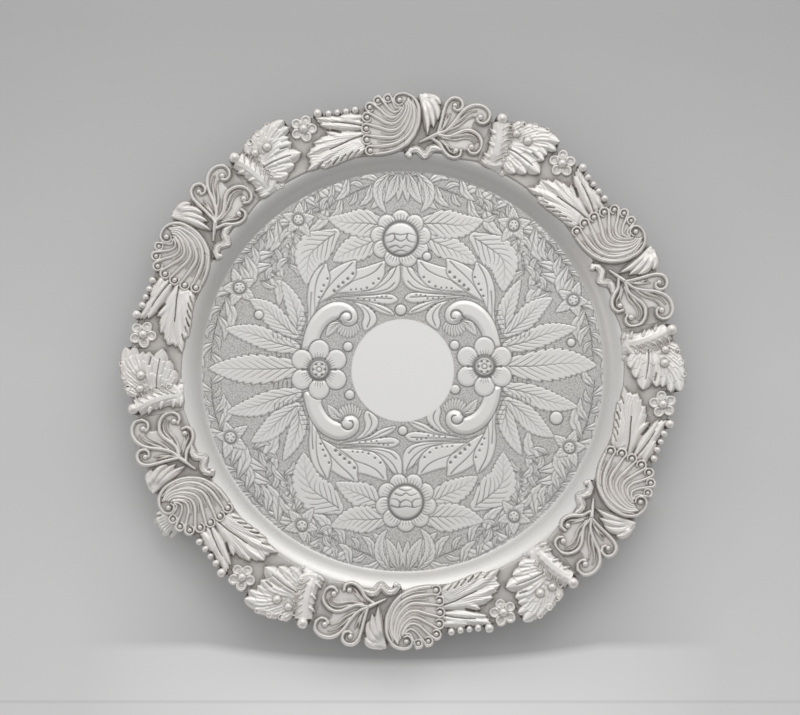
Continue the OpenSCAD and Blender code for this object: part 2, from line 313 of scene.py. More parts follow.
def add_back_leaf(r):
    """Four lobes that hang behind the shell's volute."""
    r.region([(8, 139), (12, 138.6), (17, 137.6), (19.4, 135), (18.2, 132.4), (18.4, 128.4),
              (17, 124.6), (15.6, 121.6), (14.2, 123), (12.6, 118.6), (11, 120), (9.6, 126), (8.6, 133)],
             1.5, edge=1.2)
    for w, h, points in [
        (4.6, 2.3, [(11, 138.2), (14.4, 137.5), (17.4, 136), (19.2, 133.4)]),
        (5.2, 2.7, [(11.4, 137.6), (15.2, 134.4), (17.2, 130.4), (17.6, 125.6)]),
        (5.0, 2.8, [(10.8, 136.6), (13.6, 131.4), (15, 126.2), (15.4, 121.4)]),
        (4.6, 2.9, [(9.8, 136), (11.4, 130), (12.4, 124), (12.2, 117.8)]),
    ]:
        r.blade(points, w, h, root=0.75, full=0.5, crease=0.25, power=0.9, blend=0.5)


def add_palmette(r):
    """Four curled scrolls over a thin web, with finer ribs between them."""
    web = [(17, 117.6), (21, 112), (27, 107.6), (29, 111), (33.6, 109), (38.6, 112), (38.6, 116.6),
           (35, 119.6), (36, 124.6), (41, 125), (42.6, 129), (38.6, 132.4), (33, 131.4), (28.6, 130.4),
           (28.6, 135), (24, 135.4), (21.4, 131)]
    r.region(web, 0.4, edge=1.0)
    r.rib([(8.6, 114.6), (12, 116.2), (16.6, 118.3)], (1.6, 3), 2.0, 3.2)
    main = [
        [(17.2, 118.6), (18.4, 122), (19.6, 126.4), (20.7, 130.6), (22, 134.2), (24.6, 136.8),
         (28, 136.7), (30, 134.4), (29.4, 131.6), (27.2, 130.6), (25.6, 131.6)],
        [(17.6, 118.8), (22, 120.6), (25.8, 124.6), (29, 129), (32.4, 132), (36.5, 133.4),
         (40.9, 132.4), (43.6, 129.4), (43.3, 126), (40.8, 124), (38.2, 124.6), (37.2, 126.4)],
        [(18, 118.2), (23, 117.5), (27, 118.9), (31, 120.5), (34.6, 120.3), (38, 118),
         (39.6, 114.6), (39, 111), (36.8, 108.9), (34.2, 109), (32.6, 110.8)],
        [(14.6, 116.4), (18.4, 113.7), (20.4, 110.3), (22.8, 107.7), (26, 106.6), (28.6, 107.8),
         (29.2, 110.2)],
    ]
    for points in main:
        r.rib(points, (2.4, 2.7, 2.3), 2.3, 2.6, power=0.8, blend=0.15)
    inner = [
        [(18.6, 120), (20.6, 122.4), (22.6, 126), (24, 129.2)],
        [(20, 121.6), (21.2, 125), (22, 128.6)],
        [(19, 119.4), (24.8, 121.4), (29, 123.6), (32, 126), (35.8, 127.6)],
        [(22, 121.6), (26, 123.6), (30, 127), (33.4, 129.4), (37, 130.4)],
        [(19.6, 116.8), (26, 115.7), (30, 116.4), (33.6, 116.2), (36.2, 114)],
        [(22, 117), (28, 117.8), (32, 118.6), (35.6, 117.6), (37.4, 114.8)],
        [(18.6, 115.8), (21.8, 112.6), (23.8, 109.8), (26, 108.6)],
        [(20, 115.6), (22.6, 113), (24.6, 111.2)],
    ]
    for points in inner:
        r.rib(points, (2, 2.6, 1.4), 1.6, 1.9, power=0, blend=0.15)
    for c, size in [((26.2, 133.2), 1.35), ((38.9, 127.2), 1.5), ((34.4, 112), 1.5), ((26.6, 110.2), 1.4)]:
        r.ball(c, size, sink=0.2)


def add_wavy_leaf(r):
    """A small leaf that folds up and down along the shell's foot."""
    path = [(2.2, 108.4), (4.6, 110.6), (7.2, 111), (9.2, 109.4), (10.8, 107.8), (12.4, 109.2),
            (14, 111.4), (16.4, 111.6), (19.2, 110.4)]
    r.rib(path, (3.0, 4.6, 4.8, 4.4, 4.8, 4.6, 1.6), 1.9, 2.3, power=0.6)
    for shift in (-1.5, 1.3):
        r.rib([(x, y + shift) for x, y in path[1:-1]], (0.9, 1.5, 0.9), 2.4, 2.7, power=0.8)
    r.ball((3.4, 107.6), 1.5, sink=0.4)


def add_two_lobed_leaf(r):
    """A leaf in two lobes, with a row of pearls along its outer side."""
    upper = [(-20.6, 120.8), (-26, 119.8), (-31, 119.8), (-33.4, 120.4), (-37.2, 121.2), (-41.8, 122.4),
             (-41, 123.4), (-43.6, 124.6), (-42.8, 125.6), (-44.4, 127), (-41.4, 127.9), (-38.4, 127.2),
             (-35.6, 128.2), (-33, 127.6), (-29.4, 128.5), (-26, 127.9), (-20.8, 129)]
    lower = [(-19.4, 118), (-20.6, 120.2), (-27, 119.4), (-31.2, 118.6), (-34.6, 119.4), (-38.6, 120.2),
             (-37.6, 118.2), (-42.2, 117.2), (-41.2, 115.6), (-45.2, 114.2), (-44.4, 112.6),
             (-47.4, 110.8), (-45.8, 109.2), (-48.8, 107.4), (-46.9, 105.6), (-47.6, 103.9),
             (-45.8, 102.8), (-48.2, 99.4), (-43.6, 100.6), (-42.2, 102), (-39.2, 100.6),
             (-38, 102.6), (-35, 102), (-34.2, 104.2), (-31.2, 103.8), (-30.6, 105.8), (-27.8, 105.4),
             (-27.2, 107.2), (-24.4, 106.6), (-23.8, 108.2), (-21.2, 107.6), (-19.4, 109), (-18.4, 112)]
    for outline in (upper, lower):
        r.region(np.array(outline), 1.95, edge=1.3, closed_curve=False)
    for w, h, points in [
        (6.4, 2.29, [(-20.6, 121.8), (-28, 122.4), (-35, 122.8), (-42, 123)]),
        (6.0, 2.38, [(-20.6, 124), (-28, 125.2), (-36, 125.6), (-44.2, 126.4)]),
        (6.6, 2.42, [(-20.4, 127), (-26, 126.8), (-32, 127.2)]),
        (6.4, 2.38, [(-20.2, 118.4), (-27, 118), (-33, 117.8), (-38.8, 119.6)]),
        (6.6, 2.33, [(-22, 117.4), (-30, 116.4), (-37, 115.4), (-45.2, 113.8)]),
        (7.0, 2.38, [(-23, 116.8), (-31, 114.2), (-40, 111.8), (-48.6, 107.4)]),
        (7.4, 2.42, [(-23, 114.8), (-31, 111.4), (-39, 106.8), (-48.2, 99.6)]),
        (5.6, 2.38, [(-22, 114.2), (-28, 110.8), (-34, 106.2), (-39.2, 100.8)]),
        (5.0, 2.38, [(-21.2, 113.6), (-26, 110.4), (-31, 106.6), (-35, 102.2)]),
        (4.6, 2.33, [(-20.6, 112.8), (-24.6, 110.2), (-28.4, 107.2), (-31.4, 103.9)]),
        (4.2, 2.29, [(-20, 111.8), (-23, 109.8), (-26, 107.6), (-27.9, 105.4)]),
        (3.8, 2.25, [(-19.4, 111), (-21.4, 109.6), (-23.4, 108), (-24.5, 106.6)]),
    ]:
        r.blade(points, w, h, root=0.6, full=0.45, tip=2.6, power=1.0, blend=0.75, rise=0.15)
    # fine lines that run with the folds
    i = np.flatnonzero((r.x < -19) & (r.x > -49) & (r.cover > 0))
    fan = np.arctan2(r.y[i] - 118, -8 - r.x[i])
    ripple = np.cos(fan * 150 + 2 * np.sin((r.x[i] + r.y[i]) * 0.5))
    r.z[i] += 0.045 * ripple * smooth((-19 - r.x[i]) / 6)
    # the gaps between the teeth of the lower lobe's inner side
    for x, y in [(-42.2, 102), (-38, 102.6), (-34.2, 104.2), (-30.6, 105.8), (-27.2, 107.2), (-23.8, 108.2)]:
        r.cut([(x - 0.5, y - 1.0), (x + 0.6, y + 0.8), (x + 1.9, y + 2.1)], 0.8, 0.7, 0.5)
    r.cut([(-20.2, 117.6), (-26, 115.6), (-31, 113.2), (-36.6, 110.6)], 0.6, 0.8, 0.3)
    r.cut([(-20.4, 122.6), (-26, 123.7), (-32, 124.3), (-36, 124.4)], 0.5, 0.6, 0.3)
    r.cut([(-31.4, 119.4), (-33.2, 119.9), (-35.8, 120.6)], 0.8, 1.0, 0.6)
    r.ball((-42.9, 129), 2.4, sink=0.9)
    for c, size in [((-37.4, 128.9), 1.9), ((-33, 129.5), 1.7), ((-28.6, 130), 1.8),
                    ((-24, 130.8), 1.9)]:
        r.ball(c, size, sink=0.9)


def add_flower(r):
    """Five dished petals with raised rims round a boss."""
    centre = (-49.9, 121.2)
    r.region(arc(centre, 4.9, 0, 330, 12), 0.6, edge=0.8)
    for k in range(5):
        petal_x, petal_y = around(centre, 4.3, 74 + 72 * k)
        d = np.hypot(r.x - petal_x, r.y - petal_y)
        i = np.flatnonzero(d < 2.9)
        s = d[i] / 2.9
        r.raise_to(i, PANEL_T + 1.7 * (1 - s**2)**0.4 - 1.15 * smooth((0.78 - s) / 0.5), 0.2)
    r.ball(centre, 2.3, sink=0.8)


def add_rolled_leaf(r):
    """A leaf folded over its own lobes. It is drawn over the seam at +X and turned to the one at -X."""
    r.region(turned([(40, 105.6), (44, 101.4), (49.4, 101.6), (53, 103.6), (57, 101), (62, 100.6),
                (67, 101), (68.4, 106), (72, 110), (74, 115), (68, 119.6), (60, 122), (53, 121), (47, 112),
                (42, 108)]), 1.6, edge=1.6)
    # lobes that fan out over the next section's side, with midribs
    for w, h, points in [
        (6.9, 2.28, [(49.6, 108.4), (51.6, 105), (53.8, 101.6), (56.2, 98.6)]),
        (7.8, 2.44, [(51, 109.6), (54.8, 105.6), (58.6, 101.8), (61.8, 98.4)]),
        (10.2, 2.76, [(52, 112), (58.2, 107.8), (63.6, 103.4), (68.8, 98.6)]),
        (8.4, 2.60, [(55, 113), (60.4, 111.6), (65.6, 109.4), (70.9, 105.2)]),
        (6.5, 2.36, [(57, 114.4), (62, 114), (67, 112.4), (72.6, 107.8)]),
        (5.8, 2.20, [(54.2, 119.4), (56.2, 121.6), (58.6, 123.2), (61, 124.4)]),
        (6.3, 2.28, [(55, 117.6), (60, 120.2), (64.2, 121.8), (68.2, 122.2)]),
        (6.7, 2.44, [(57, 116.2), (62.6, 118.4), (68, 119.9), (73.6, 119.6)]),
        (8.2, 2.68, [(60, 115.2), (66, 116.4), (72, 116.6), (79, 114.4)]),
        (6.7, 2.44, [(62, 113.8), (67, 113.8), (72.6, 112.8), (77, 110)]),
    ]:
        r.blade(turned(points), w, h, root=0.6, full=0.55, tip=3.4, crease=0.35, power=0.7,
                teeth=3, blend=0.4, rise=0.15)
    for centre in turned([(60.4, 123.6), (66.4, 122.4), (72.2, 120.2)]):
        r.ring(centre, 1.35, 1.2, 2.3)
    # the leaf folded back over them: streaked along its length, ragged at its sides
    path = curve(turned([(43.2, 101.4), (45.8, 106.2), (47.8, 112), (49.1, 118), (49.6, 124.6)]))
    i, d, share, length = r.along(path, 8)
    half = np.interp(share, [0, 0.15, 0.4, 0.7, 1], [6.4, 6.0, 5.5, 5.5, 5.2])
    wave = share * length / (3.7 + 2.2 * (d > 0)) + 0.3 * np.sin(share * 11)
    half = half * (1 - (0.07 + 0.08 * (d > 0)) * (1 - (wave - np.floor(wave))))
    s = np.abs(d) / half
    inside = (s < 1) & (share > 0) & (share < 1)
    top = np.interp(share, [0, 0.1, 0.3, 0.6, 1], [0.5, 1.5, 2.3, 2.7, 2.9]) * (1 - s**2).clip(0, 1)**0.6
    streaks = 0.06 * np.cos(d * 3.1 - share * 7) * smooth(s * 3)
    veins = 0.08 * np.cos(2 * np.pi * (share * length * 0.27 - np.abs(d) * 0.42)) * smooth(s * 2 - 0.3)
    top += (streaks + veins) * (1 - s**4).clip(0, 1)
    r.raise_to(i[inside], PANEL_T + top[inside])
    # curled tips along the fold's inner side, and teeth along its other side
    for x, y in [(54, 121.6), (54.2, 118.2), (53.6, 114.8), (53, 111.6), (52, 108.6), (50.6, 105.8)]:
        hook = [(x - 4.2, y - 1.0), (x - 1.2, y + 0.9), (x + 0.9, y + 0.7), (x + 0.9, y - 0.8),
                (x - 0.7, y - 1.0)]
        r.rib(turned(hook), (0.7, 1.4, 1.3, 1.0), 3.2, 2.6, power=0.7)
    for x, y in [(43.6, 119), (42.9, 112.6), (40.4, 107), (39, 103.6)]:
        r.blade(turned([(x + 4, y - 1), (x + 2, y + 0.4), (x, y + 2.4)]), 3.4, 2.6, root=0.8,
                full=0.4, power=0.8, blend=0.4)
    for c, size, sink in [((49.9, 126.5), 2.95, 1.6), ((57, 118.6), 2.0, -0.4), ((62.6, 114.9), 2.2, -0.4)]:
        r.ball(turned([c])[0], size, sink=sink)
    r.cut(turned([(65.2, 108.6), (67.8, 106.2)]), 0.8, 0.8)
    r.cut(turned([(53, 111.2), (57, 109), (61, 106), (65, 102.6)]), 0.5, 0.6, 0.25)


def border_relief(x, y):
    """Relief of one section over plan points, and which of the points it covers."""
    r = Relief(x, y, PANEL_T)
    angle = np.degrees(np.arctan2(y, x))
    radius = np.hypot(x, y)
    inner = np.interp(angle, [70.5, 76, 80, 88, 92, 98, 104, 110, 117, 120, 123.3, 126, 130.5],
                      [111.2, 109.4, 110.6, 109.2, 110.4, 108.6, 109.4, 110.2, 110.4, 110.6, 110.7,
                       110.8, 111.2])
    outer = np.interp(angle, [70.5, 73, 76, 80, 84, 90, 95, 99, 104, 107, 112, 116, 121, 126, 130.5],
                      [133.4, 136.4, 134.2, 136.4, 137.4, 138, 136.4, 133, 132.6, 134, 135.4, 136.6,
                       137.4, 136.8, 134])
    e = np.clip(np.minimum(radius - inner, outer - radius) / 1.0, 0, 1)
    panel = (radius > inner) & (radius < outer)
    r.z[panel] = PANEL_T * (EDGE_SHARE + (1 - EDGE_SHARE) * np.sqrt(1 - (1 - e[panel])**2))
    add_two_lobed_leaf(r)
    add_flower(r)
    add_rolled_leaf(r)
    add_back_leaf(r)
    add_wavy_leaf(r)
    add_palmette(r)
    add_shell(r)
    # a low lug with a rim round the pin
    lug_x, lug_y = around((0, 0), PIN_R, PIN_ANGLE)
    r.base = PANEL_T * 0.75
    r.raise_to(np.flatnonzero(np.hypot(x - lug_x, y - lug_y) < 1.6), r.base)
    r.ring((lug_x, lug_y), 1.15, 0.8, 0.5)
    solid = (r.z > 0.01) | panel
    return r, solid


# ---- chased field ---------------------------------------------------------------------------
# The points of a quadrant are in the plan of the upper right one; the others are mirrored.


def leaf(r, points, width, veins, root=0.25, full=0.42, tip=1.6, slant=1.3, lobes=0.11, midrib=0.95):
    """A flat chased leaf: a raised blade with a cut outline, a midrib and slanting side veins."""
    path = curve(points, 1.2)
    i, d, t, length = r.along(path, width * 0.6)
    u = np.clip((t - full) / (1 - full), 0, 1)
    half = width / 2 * np.where(t < full, root + (1 - root) * np.sin(np.clip(t / full, 0, 1) * np.pi / 2),
                                np.clip(1 - u**tip, 0, 1)**0.8)
    pitch = length / max(veins, 1)
    phase = (t * length - np.abs(d) * slant) / pitch + 0.35 * (d > 0)
    saw = phase - np.floor(phase)
    half = half * (1 - lobes * 2 * np.abs(saw - 0.35) * (veins > 0))
    inside = np.abs(d) < half
    j = i[inside]
    side = np.abs(d[inside])
    r.lay(j, LEAF_H * (0.4 + 0.6 * smooth(half[inside] - side)))
    if veins:
        gap = np.minimum(saw, 1 - saw)[inside] * pitch
        reach = half[inside] * (0.78 + 0.14 * np.sin(5.3 * np.floor(phase[inside]) + 1.7))
        cut = np.exp(-(gap / 0.36)**2) * smooth((reach - side) / 0.8) * np.clip(1.15 - t[inside], 0, 1)
        r.score(j, cut * np.clip(half[inside] / 1.5, 0, 1), 0.10)
    r.score(j, np.exp(-(side / 0.30)**2) * np.clip(1.1 - t[inside], 0, 1) * midrib, 0.12)
    r.score(i, np.exp(-((np.abs(d) - half) / 0.30)**2) * (half > 0.15), 0.06, 0.75)


def plate(r, outline, height=LEAF_H, round_off=1.0, edge=0.72):
    """A plain shape inside a closed smooth outline, raised, with a cut edge."""
    path = curve(outline, 0.8, closed=True)
    i, d, _, _ = r.along(path, 1.0)
    inside = r.inside(path, i)
    r.lay(i[inside], height * (0.3 + 0.7 * smooth(np.abs(d[inside]) / round_off)), 0.08)
    r.score(i, np.exp(-(d / 0.32)**2), 0.10, edge)


def petal(r, centre, radius, edge, height=0.25, tone=0.0):
    """A round low dome with a cut edge."""
    d = np.hypot(r.x - centre[0], r.y - centre[1])
    i = np.flatnonzero(d < radius + 1)
    e = radius - d[i]
    inside = e > 0
    r.lay(i[inside], height * (0.5 + 0.5 * smooth(e[inside] / 1.8)), tone)
    r.score(i, np.exp(-(e / 0.32)**2), 0.10, edge)


def dot(r, centre, radius, depth=0.2):
    """A punched round dot."""
    d = np.hypot(r.x - centre[0], r.y - centre[1])
    i = np.flatnonzero(d < radius * 2)
    r.score(i, np.exp(-(d[i] / radius)**4), depth)


def ring_line(r, centre, radius, width, strength=1.0, depth=0.3):
    """An engraved circle."""
    d = np.hypot(r.x - centre[0], r.y - centre[1]) - radius
    i = np.flatnonzero(np.abs(d) < width * 1.5)
    r.score(i, np.exp(-(d[i] / (0.6 * width))**2), depth, strength)


def cornucopia(r):
    """A plain flat horn that curls into a volute."""
    plate(r, [(48.5, 11.4), (48.4, 17), (46.6, 23), (44.4, 27.2), (41, 31.2), (37, 34), (32.6, 35.5),
              (28, 35.3), (24.4, 33.6), (21.9, 31), (21.1, 28), (21.6, 25.4), (23.5, 23.6), (26, 23.1),
              (28.5, 24), (30, 26.2), (33, 26), (36.2, 23.8), (38.6, 20.5), (40, 17), (40.4, 12)],
          height=0.42, round_off=2.4, edge=0.8)
    r.cut([(31.4, 26.6), (30.2, 27.2), (29.5, 28.9), (27.9, 30.2), (26, 30.3), (24.6, 29.3), (24.2, 27.6),
           (24.9, 26.2), (26.2, 26)], 0.7, 0.35, 0.5)
    # the volute's boss
    d = np.hypot(r.x - 27.2, r.y - 27.3)
    r.z += 0.35 * np.clip(1 - (d / 2.8)**2, 0, 1)


DOTTED = [
    # outlines of the dotted spray's lobes, from the lowest to the one on top
    [(17.4, 20.6), (19, 24), (18.2, 28), (19.4, 31.6), (23, 35.2), (17.4, 33.8), (13.6, 31), (11.6, 27.6),
     (12.4, 24)],
    [(2.8, 28.6), (7, 29), (11.4, 30.6), (16, 33.6), (22, 35.6), (27, 36.4), (18, 36), (12, 34.8),
     (7, 33), (4, 31)],
    [(0.8, 36.6), (3.4, 39), (8, 39.4), (14, 38.8), (22, 38.3), (31, 37.7), (24, 36.4), (17, 35.7),
     (12, 34.7), (6, 34), (2.4, 34.9)],
    [(0.4, 55.8), (2.8, 53), (6.5, 50.4), (8.8, 47.4), (11.4, 44.4), (15, 41.9), (21, 40.7), (30, 39.6),
     (22, 39.2), (12, 39.2), (7.6, 39.8), (3.6, 41), (0.8, 43.6), (-0.4, 48)],
    [(7.2, 56.2), (12.5, 54.8), (18, 53), (23, 51.6), (25, 47.6), (29, 44), (34.4, 39.8), (27, 39.9),
     (20, 40.3), (14.5, 41.4), (10.4, 44.4), (7.8, 48.6), (7.4, 52.6)],
    [(22, 56.6), (27.5, 55.2), (32, 53), (36, 50), (37, 46), (39.4, 41), (42.6, 34), (37.5, 36.3),
     (33, 39), (28.6, 42), (24.6, 45.2), (22, 49), (22, 53)],
    [(37, 55), (41.6, 52), (44.5, 47.5), (46.1, 42), (46.5, 36), (46, 30), (46.6, 23), (43.6, 28),
     (41.3, 33), (40, 36), (37.6, 40), (35.7, 44), (35, 48), (36, 52)],
]
SPRAY_LINES = [
    [(38, 53.8), (41, 48.2), (42.4, 42.8), (42.8, 37), (42.6, 31)],
    [(44.4, 40), (44.8, 33), (44.8, 27)],
    [(23.8, 55.2), (27, 51.8), (31, 48.2), (35, 43.8), (38, 39.6), (41, 34.4)],
    [(9, 54.6), (12.4, 50.8), (17, 48.2), (23, 46), (28, 43.4), (33, 40)],
    [(1.4, 53.8), (3.6, 48.8), (7, 45), (12, 42), (19, 40.9)],
    [(4.6, 52.2), (6.8, 48.6), (9.4, 45.4)],
    [(2.6, 45), (6, 42), (12, 40.4), (20, 39.8)],
    [(16.4, 22.6), (15, 26.6), (16, 30), (19, 33.4)],
    [(4.4, 29.6), (9, 31.6), (14, 34), (20, 36)],
    [(4, 37), (12, 37.3), (22, 37.4), (31, 37.9), (37, 36)],
]
SPRAY_DOTS = [
    (0.62, [(36.3, 47), (38.2, 43.6), (39.3, 40.6), (40.5, 37.6)]),
    (0.8, [(23.6, 49.6), (26.1, 47), (28.5, 45), (30.8, 43), (33, 40.9)]),
    (0.62, [(10.6, 47), (13.3, 44.6), (16.5, 42.4)]),
    (0.5, [(19.4, 41.7), (22, 41.7), (24.5, 41.4), (6.8, 38.1), (9, 38), (11.4, 37.6)]),
    (0.5, [(12.5, 36.2), (15.2, 36.3), (18, 36.6), (21, 37), (7.6, 34), (10.4, 34.4)]),
    (0.55, [(12.6, 30.4), (14.4, 32), (16.4, 33.5)]),
]


def inner_quadrant(r):
    """Dotted spray, cornucopia and side leaves around the reserve."""
    for width, veins, root, full, points in [
        (9.4, 7, 0.5, 0.45, [(52.2, 18.6), (51.4, 27), (54.2, 36), (59.4, 46.4)]),
        (11.4, 8, 0.4, 0.5, [(52.6, 18.6), (60, 24.6), (67, 31.4), (75.6, 37)]),
        (11.6, 9, 0.6, 0.5, [(53, 12.4), (62, 14.6), (74, 19), (88, 21.8)]),
    ]:
        leaf(r, points, width, veins, root=root, full=full, lobes=0.12, slant=2.0)
    for k in range(9):
        y = 11.6 + 2.3 * k
        x = 51.0 - 0.012 * (y - 12)**2
        r.cut([(x - 1.6, y), (x + 2.0, y + 0.3)], 0.5, 0.08, 0.3)
    for k in range(5):
        r.cut([(55 + 2.2 * k, 6.2), (55.3 + 2.2 * k, 9.6)], 0.5, 0.08, 0.3)
        r.cut([(54.6 + 2.2 * k, 15.4 + 0.5 * k), (55 + 2.2 * k, 18 + 0.6 * k)], 0.5, 0.08, 0.3)
    for outline in DOTTED:
        plate(r, outline)
    for points in SPRAY_LINES:
        r.cut(points, 0.6, 0.10, 0.3)
    for size, places in SPRAY_DOTS:
        for at in places:
            dot(r, at, size)
    # fluted bud and leaves under the volute
    for a in range(225, 326, 12):
        leaf(r, [around((26, 28), 4.6, a), around((26, 28), 8.4, a, 11.4)], 2.3, 0, midrib=0.4)
    leaf(r, [(30.2, 25), (33.6, 22.6), (37.2, 17.6)], 5.0, 5, slant=2.0)
    cornucopia(r)
    petal(r, (26, 12.8), 2.5, edge=1.0)


SPRAYS = [
    # stem points, leaflet length, number of leaflets at each side
    ([(4, 98), (14, 93), (27, 87.6), (40, 82), (52, 77)], 18.0, 6),
    ([(24, 97), (34, 92.6), (44, 87.4), (55, 80.6)], 13.5, 4),
    ([(58.6, 71), (63, 63), (67.6, 54.4), (71, 42)], 19.0, 5),
    ([(63, 73), (71, 65), (79, 55), (85, 44)], 17.0, 6),
    ([(56.4, 68), (58, 60), (60.4, 54), (60.2, 48)], 12.0, 4),
    ([(87, 34), (91, 26), (93.4, 16), (94.6, 4)], 16.0, 4),
    ([(47, 77), (42, 79), (37, 82)], 8.5, 2),
    ([(74, 39), (69, 41), (65, 46)], 9.0, 2),
]


def outer_quadrant(r):
    """Feathery sprays, small flowers and veined leaves between the medallions and the bouge."""
    for points, reach, count in SPRAYS:
        path = curve(points, 0.5)
        r.cut(points, 0.5, 0.06, 0.3)
        for k in range(2 * count):
            side = 1 - 2 * (k % 2)
            n = int((k + 0.3) / (2 * count) * (len(path) - 1))
            at = path[n]
            ahead = path[min(n + 6, len(path) - 1)] - path[max(n - 2, 0)]
            ahead = ahead / max(np.hypot(*ahead), 1e-6)
            out = np.array([-ahead[1], ahead[0]]) * side
            size = reach * (0.72 + 0.26 * math.sin(2.4 * k + side))
            tip_at = kept_in(at + (ahead * 0.84 + out * 0.55) * size)
            bend = at + (ahead * 0.34 + out * 0.42) * size
            leaf(r, [at, bend, tip_at], size * 0.34, 2 + k % 2, lobes=0.16, slant=2.6, root=0.3, full=0.4)
    for width, veins, root, full, points in [
        (13.4, 8, 0.45, 0.45, [(12, 67.4), (20, 63), (29, 59), (38, 53.4)]),
        (14.6, 8, 0.45, 0.4, [(10.6, 73.4), (20, 73.6), (30, 73), (40.4, 75)]),
        (17.4, 9, 0.35, 0.4, [(36.2, 67), (43, 62), (50.2, 54.4), (51, 39.6)]),
    ]:
        leaf(r, points, width, veins, root=root, full=full, lobes=0.12)
    # hanging leaves over the medallion
    leaf(r, [(1.4, 97.6), (1.8, 91), (2.6, 84)], 4.6, 5, slant=2.0)
    leaf(r, [(7.6, 97.6), (13, 91), (12.6, 84), (8.6, 78.6)], 6.0, 8, slant=2.0)
    leaf(r, [(3, 97.4), (5.4, 90), (9.6, 83)], 6.0, 7, slant=2.0)
    for angle, turn in ((HIGH_FLOWER, 90), (LOW_FLOWER, 72)):
        small_flower(r, np.array(around((0, 0), 91, angle)), turn)


def kept_in(point):
    """The point, or the nearest one on the circle where the leaves end."""
    return point * min(LEAF_END_R / np.hypot(*point), 1)


def small_flower(r, at, turn):
    """Five pointed leaves round a ringed boss."""
    for k in range(5):
        tip_at = kept_in(np.array(around(at, 10.0 - 1.2 * (k % 2), turn + 72 * k)))
        leaf(r, [at, (at + tip_at) / 2, tip_at], 5.6, 3, root=0.5, full=0.45, tip=1.2, midrib=0.6, slant=2.2)
    petal(r, at, 3.5, edge=0.5)
    ring_line(r, at, 2.8, 0.8, 0.9, 0.25)
    for k in range(5):
        dot(r, around(at, 1.5, turn + 36 + 72 * k), 0.45, 0.1)


def rosette(r, at):
    """The big flower at each side of the reserve, with a ring of dots on its boss."""
    for a in range(30, 390, 60):
        petal(r, around(at, 9.9, a), 5.2, edge=0.75, height=0.22, tone=0.03)
        for turn in (-14, -5, 5, 14):
            r.cut([around(at, 5.6, a + turn), around(at, 8.8, a + turn)], 0.45, 0.05, 0.1)
    for a in (0, 180):
        dot(r, around(at, 8.3, a), 0.7)
        dot(r, around(at, 7.3, a), 0.5)
    petal(r, at, 5.7, edge=0.0, height=0.5)
    ring_line(r, at, 5.0, 1.5)
    for a in range(0, 360, 60):
        dot(r, around(at, 3.0, a), 0.75, 0.15)
    ring_line(r, at, 1.3, 0.5, 0.8, 0.2)
    for a in range(30, 390, 60):
        r.cut([around(at, 3.9, a), around(at, 3.9, a + 60)], 0.4, 0.08)


def medallion(r, at, up):
    """The big flower over or under the reserve: a banded boss among ruffled petals."""
    for k in range(9):
        a = 90 * up + 40 * k
        petal(r, around(at, 10.8, a, 10.2), 4.6, edge=0.75, height=0.22, tone=0.02)
        for turn in (-16, -8, 0, 8, 16):
            r.cut([around(at, 9.6, a + turn), around(at, 12.8, a + turn, 12.4)], 0.4, 0.05, 0.1)
    d = np.hypot(r.x - at[0], r.y - at[1])
    i = np.flatnonzero(d < 9.2)
    r.lay(i, 0.2 + 0.6 * (1 - (d[i] / 9.2)**2)**0.7)
    ring_line(r, at, 8.7, 1.2, 1.0, 0.4)
    for line in [
        [(-7.4, 1.6), (-4, 2.6), (0, 2), (4, 2.6), (7.4, 1.6)],
        [(-3.4, 2.4), (-3, 0.2), (-4.6, -1.4), (-7.4, -1.8)],
        [(3.4, 2.4), (3, 0.2), (4.6, -1.4), (7.4, -1.8)],
        [(-3, 0.2), (0, -1.2), (3, 0.2)],
        [(-5.6, -4.4), (-2.4, -3.4), (0, -4.6), (2.4, -3.4), (5.6, -4.4)],
        [(-3.4, -6.8), (0, -5.8), (3.4, -6.8)],
    ]:
        r.cut([(at[0] + x, at[1] + y * up) for x, y in line], 0.8, 0.10, 0.3)


LOW_FLOWER, HIGH_FLOWER = 22.5, 52.7    # angles of the two small flowers in a quadrant's plan
QUADRANTS = [
    # mirror x, mirror y, shift x, shift y, and the angles that the small flowers really have
    (1, 1, 0.0, 0.0, 22.5, 52.7),
    (-1, 1, -1.5, -0.8, 27.1, 55.4),
    (1, -1, 0.3, 3.4, 25.0, 52.7),
    (-1, -1, -0.6, 0.6, 21.2, 57.3),
]


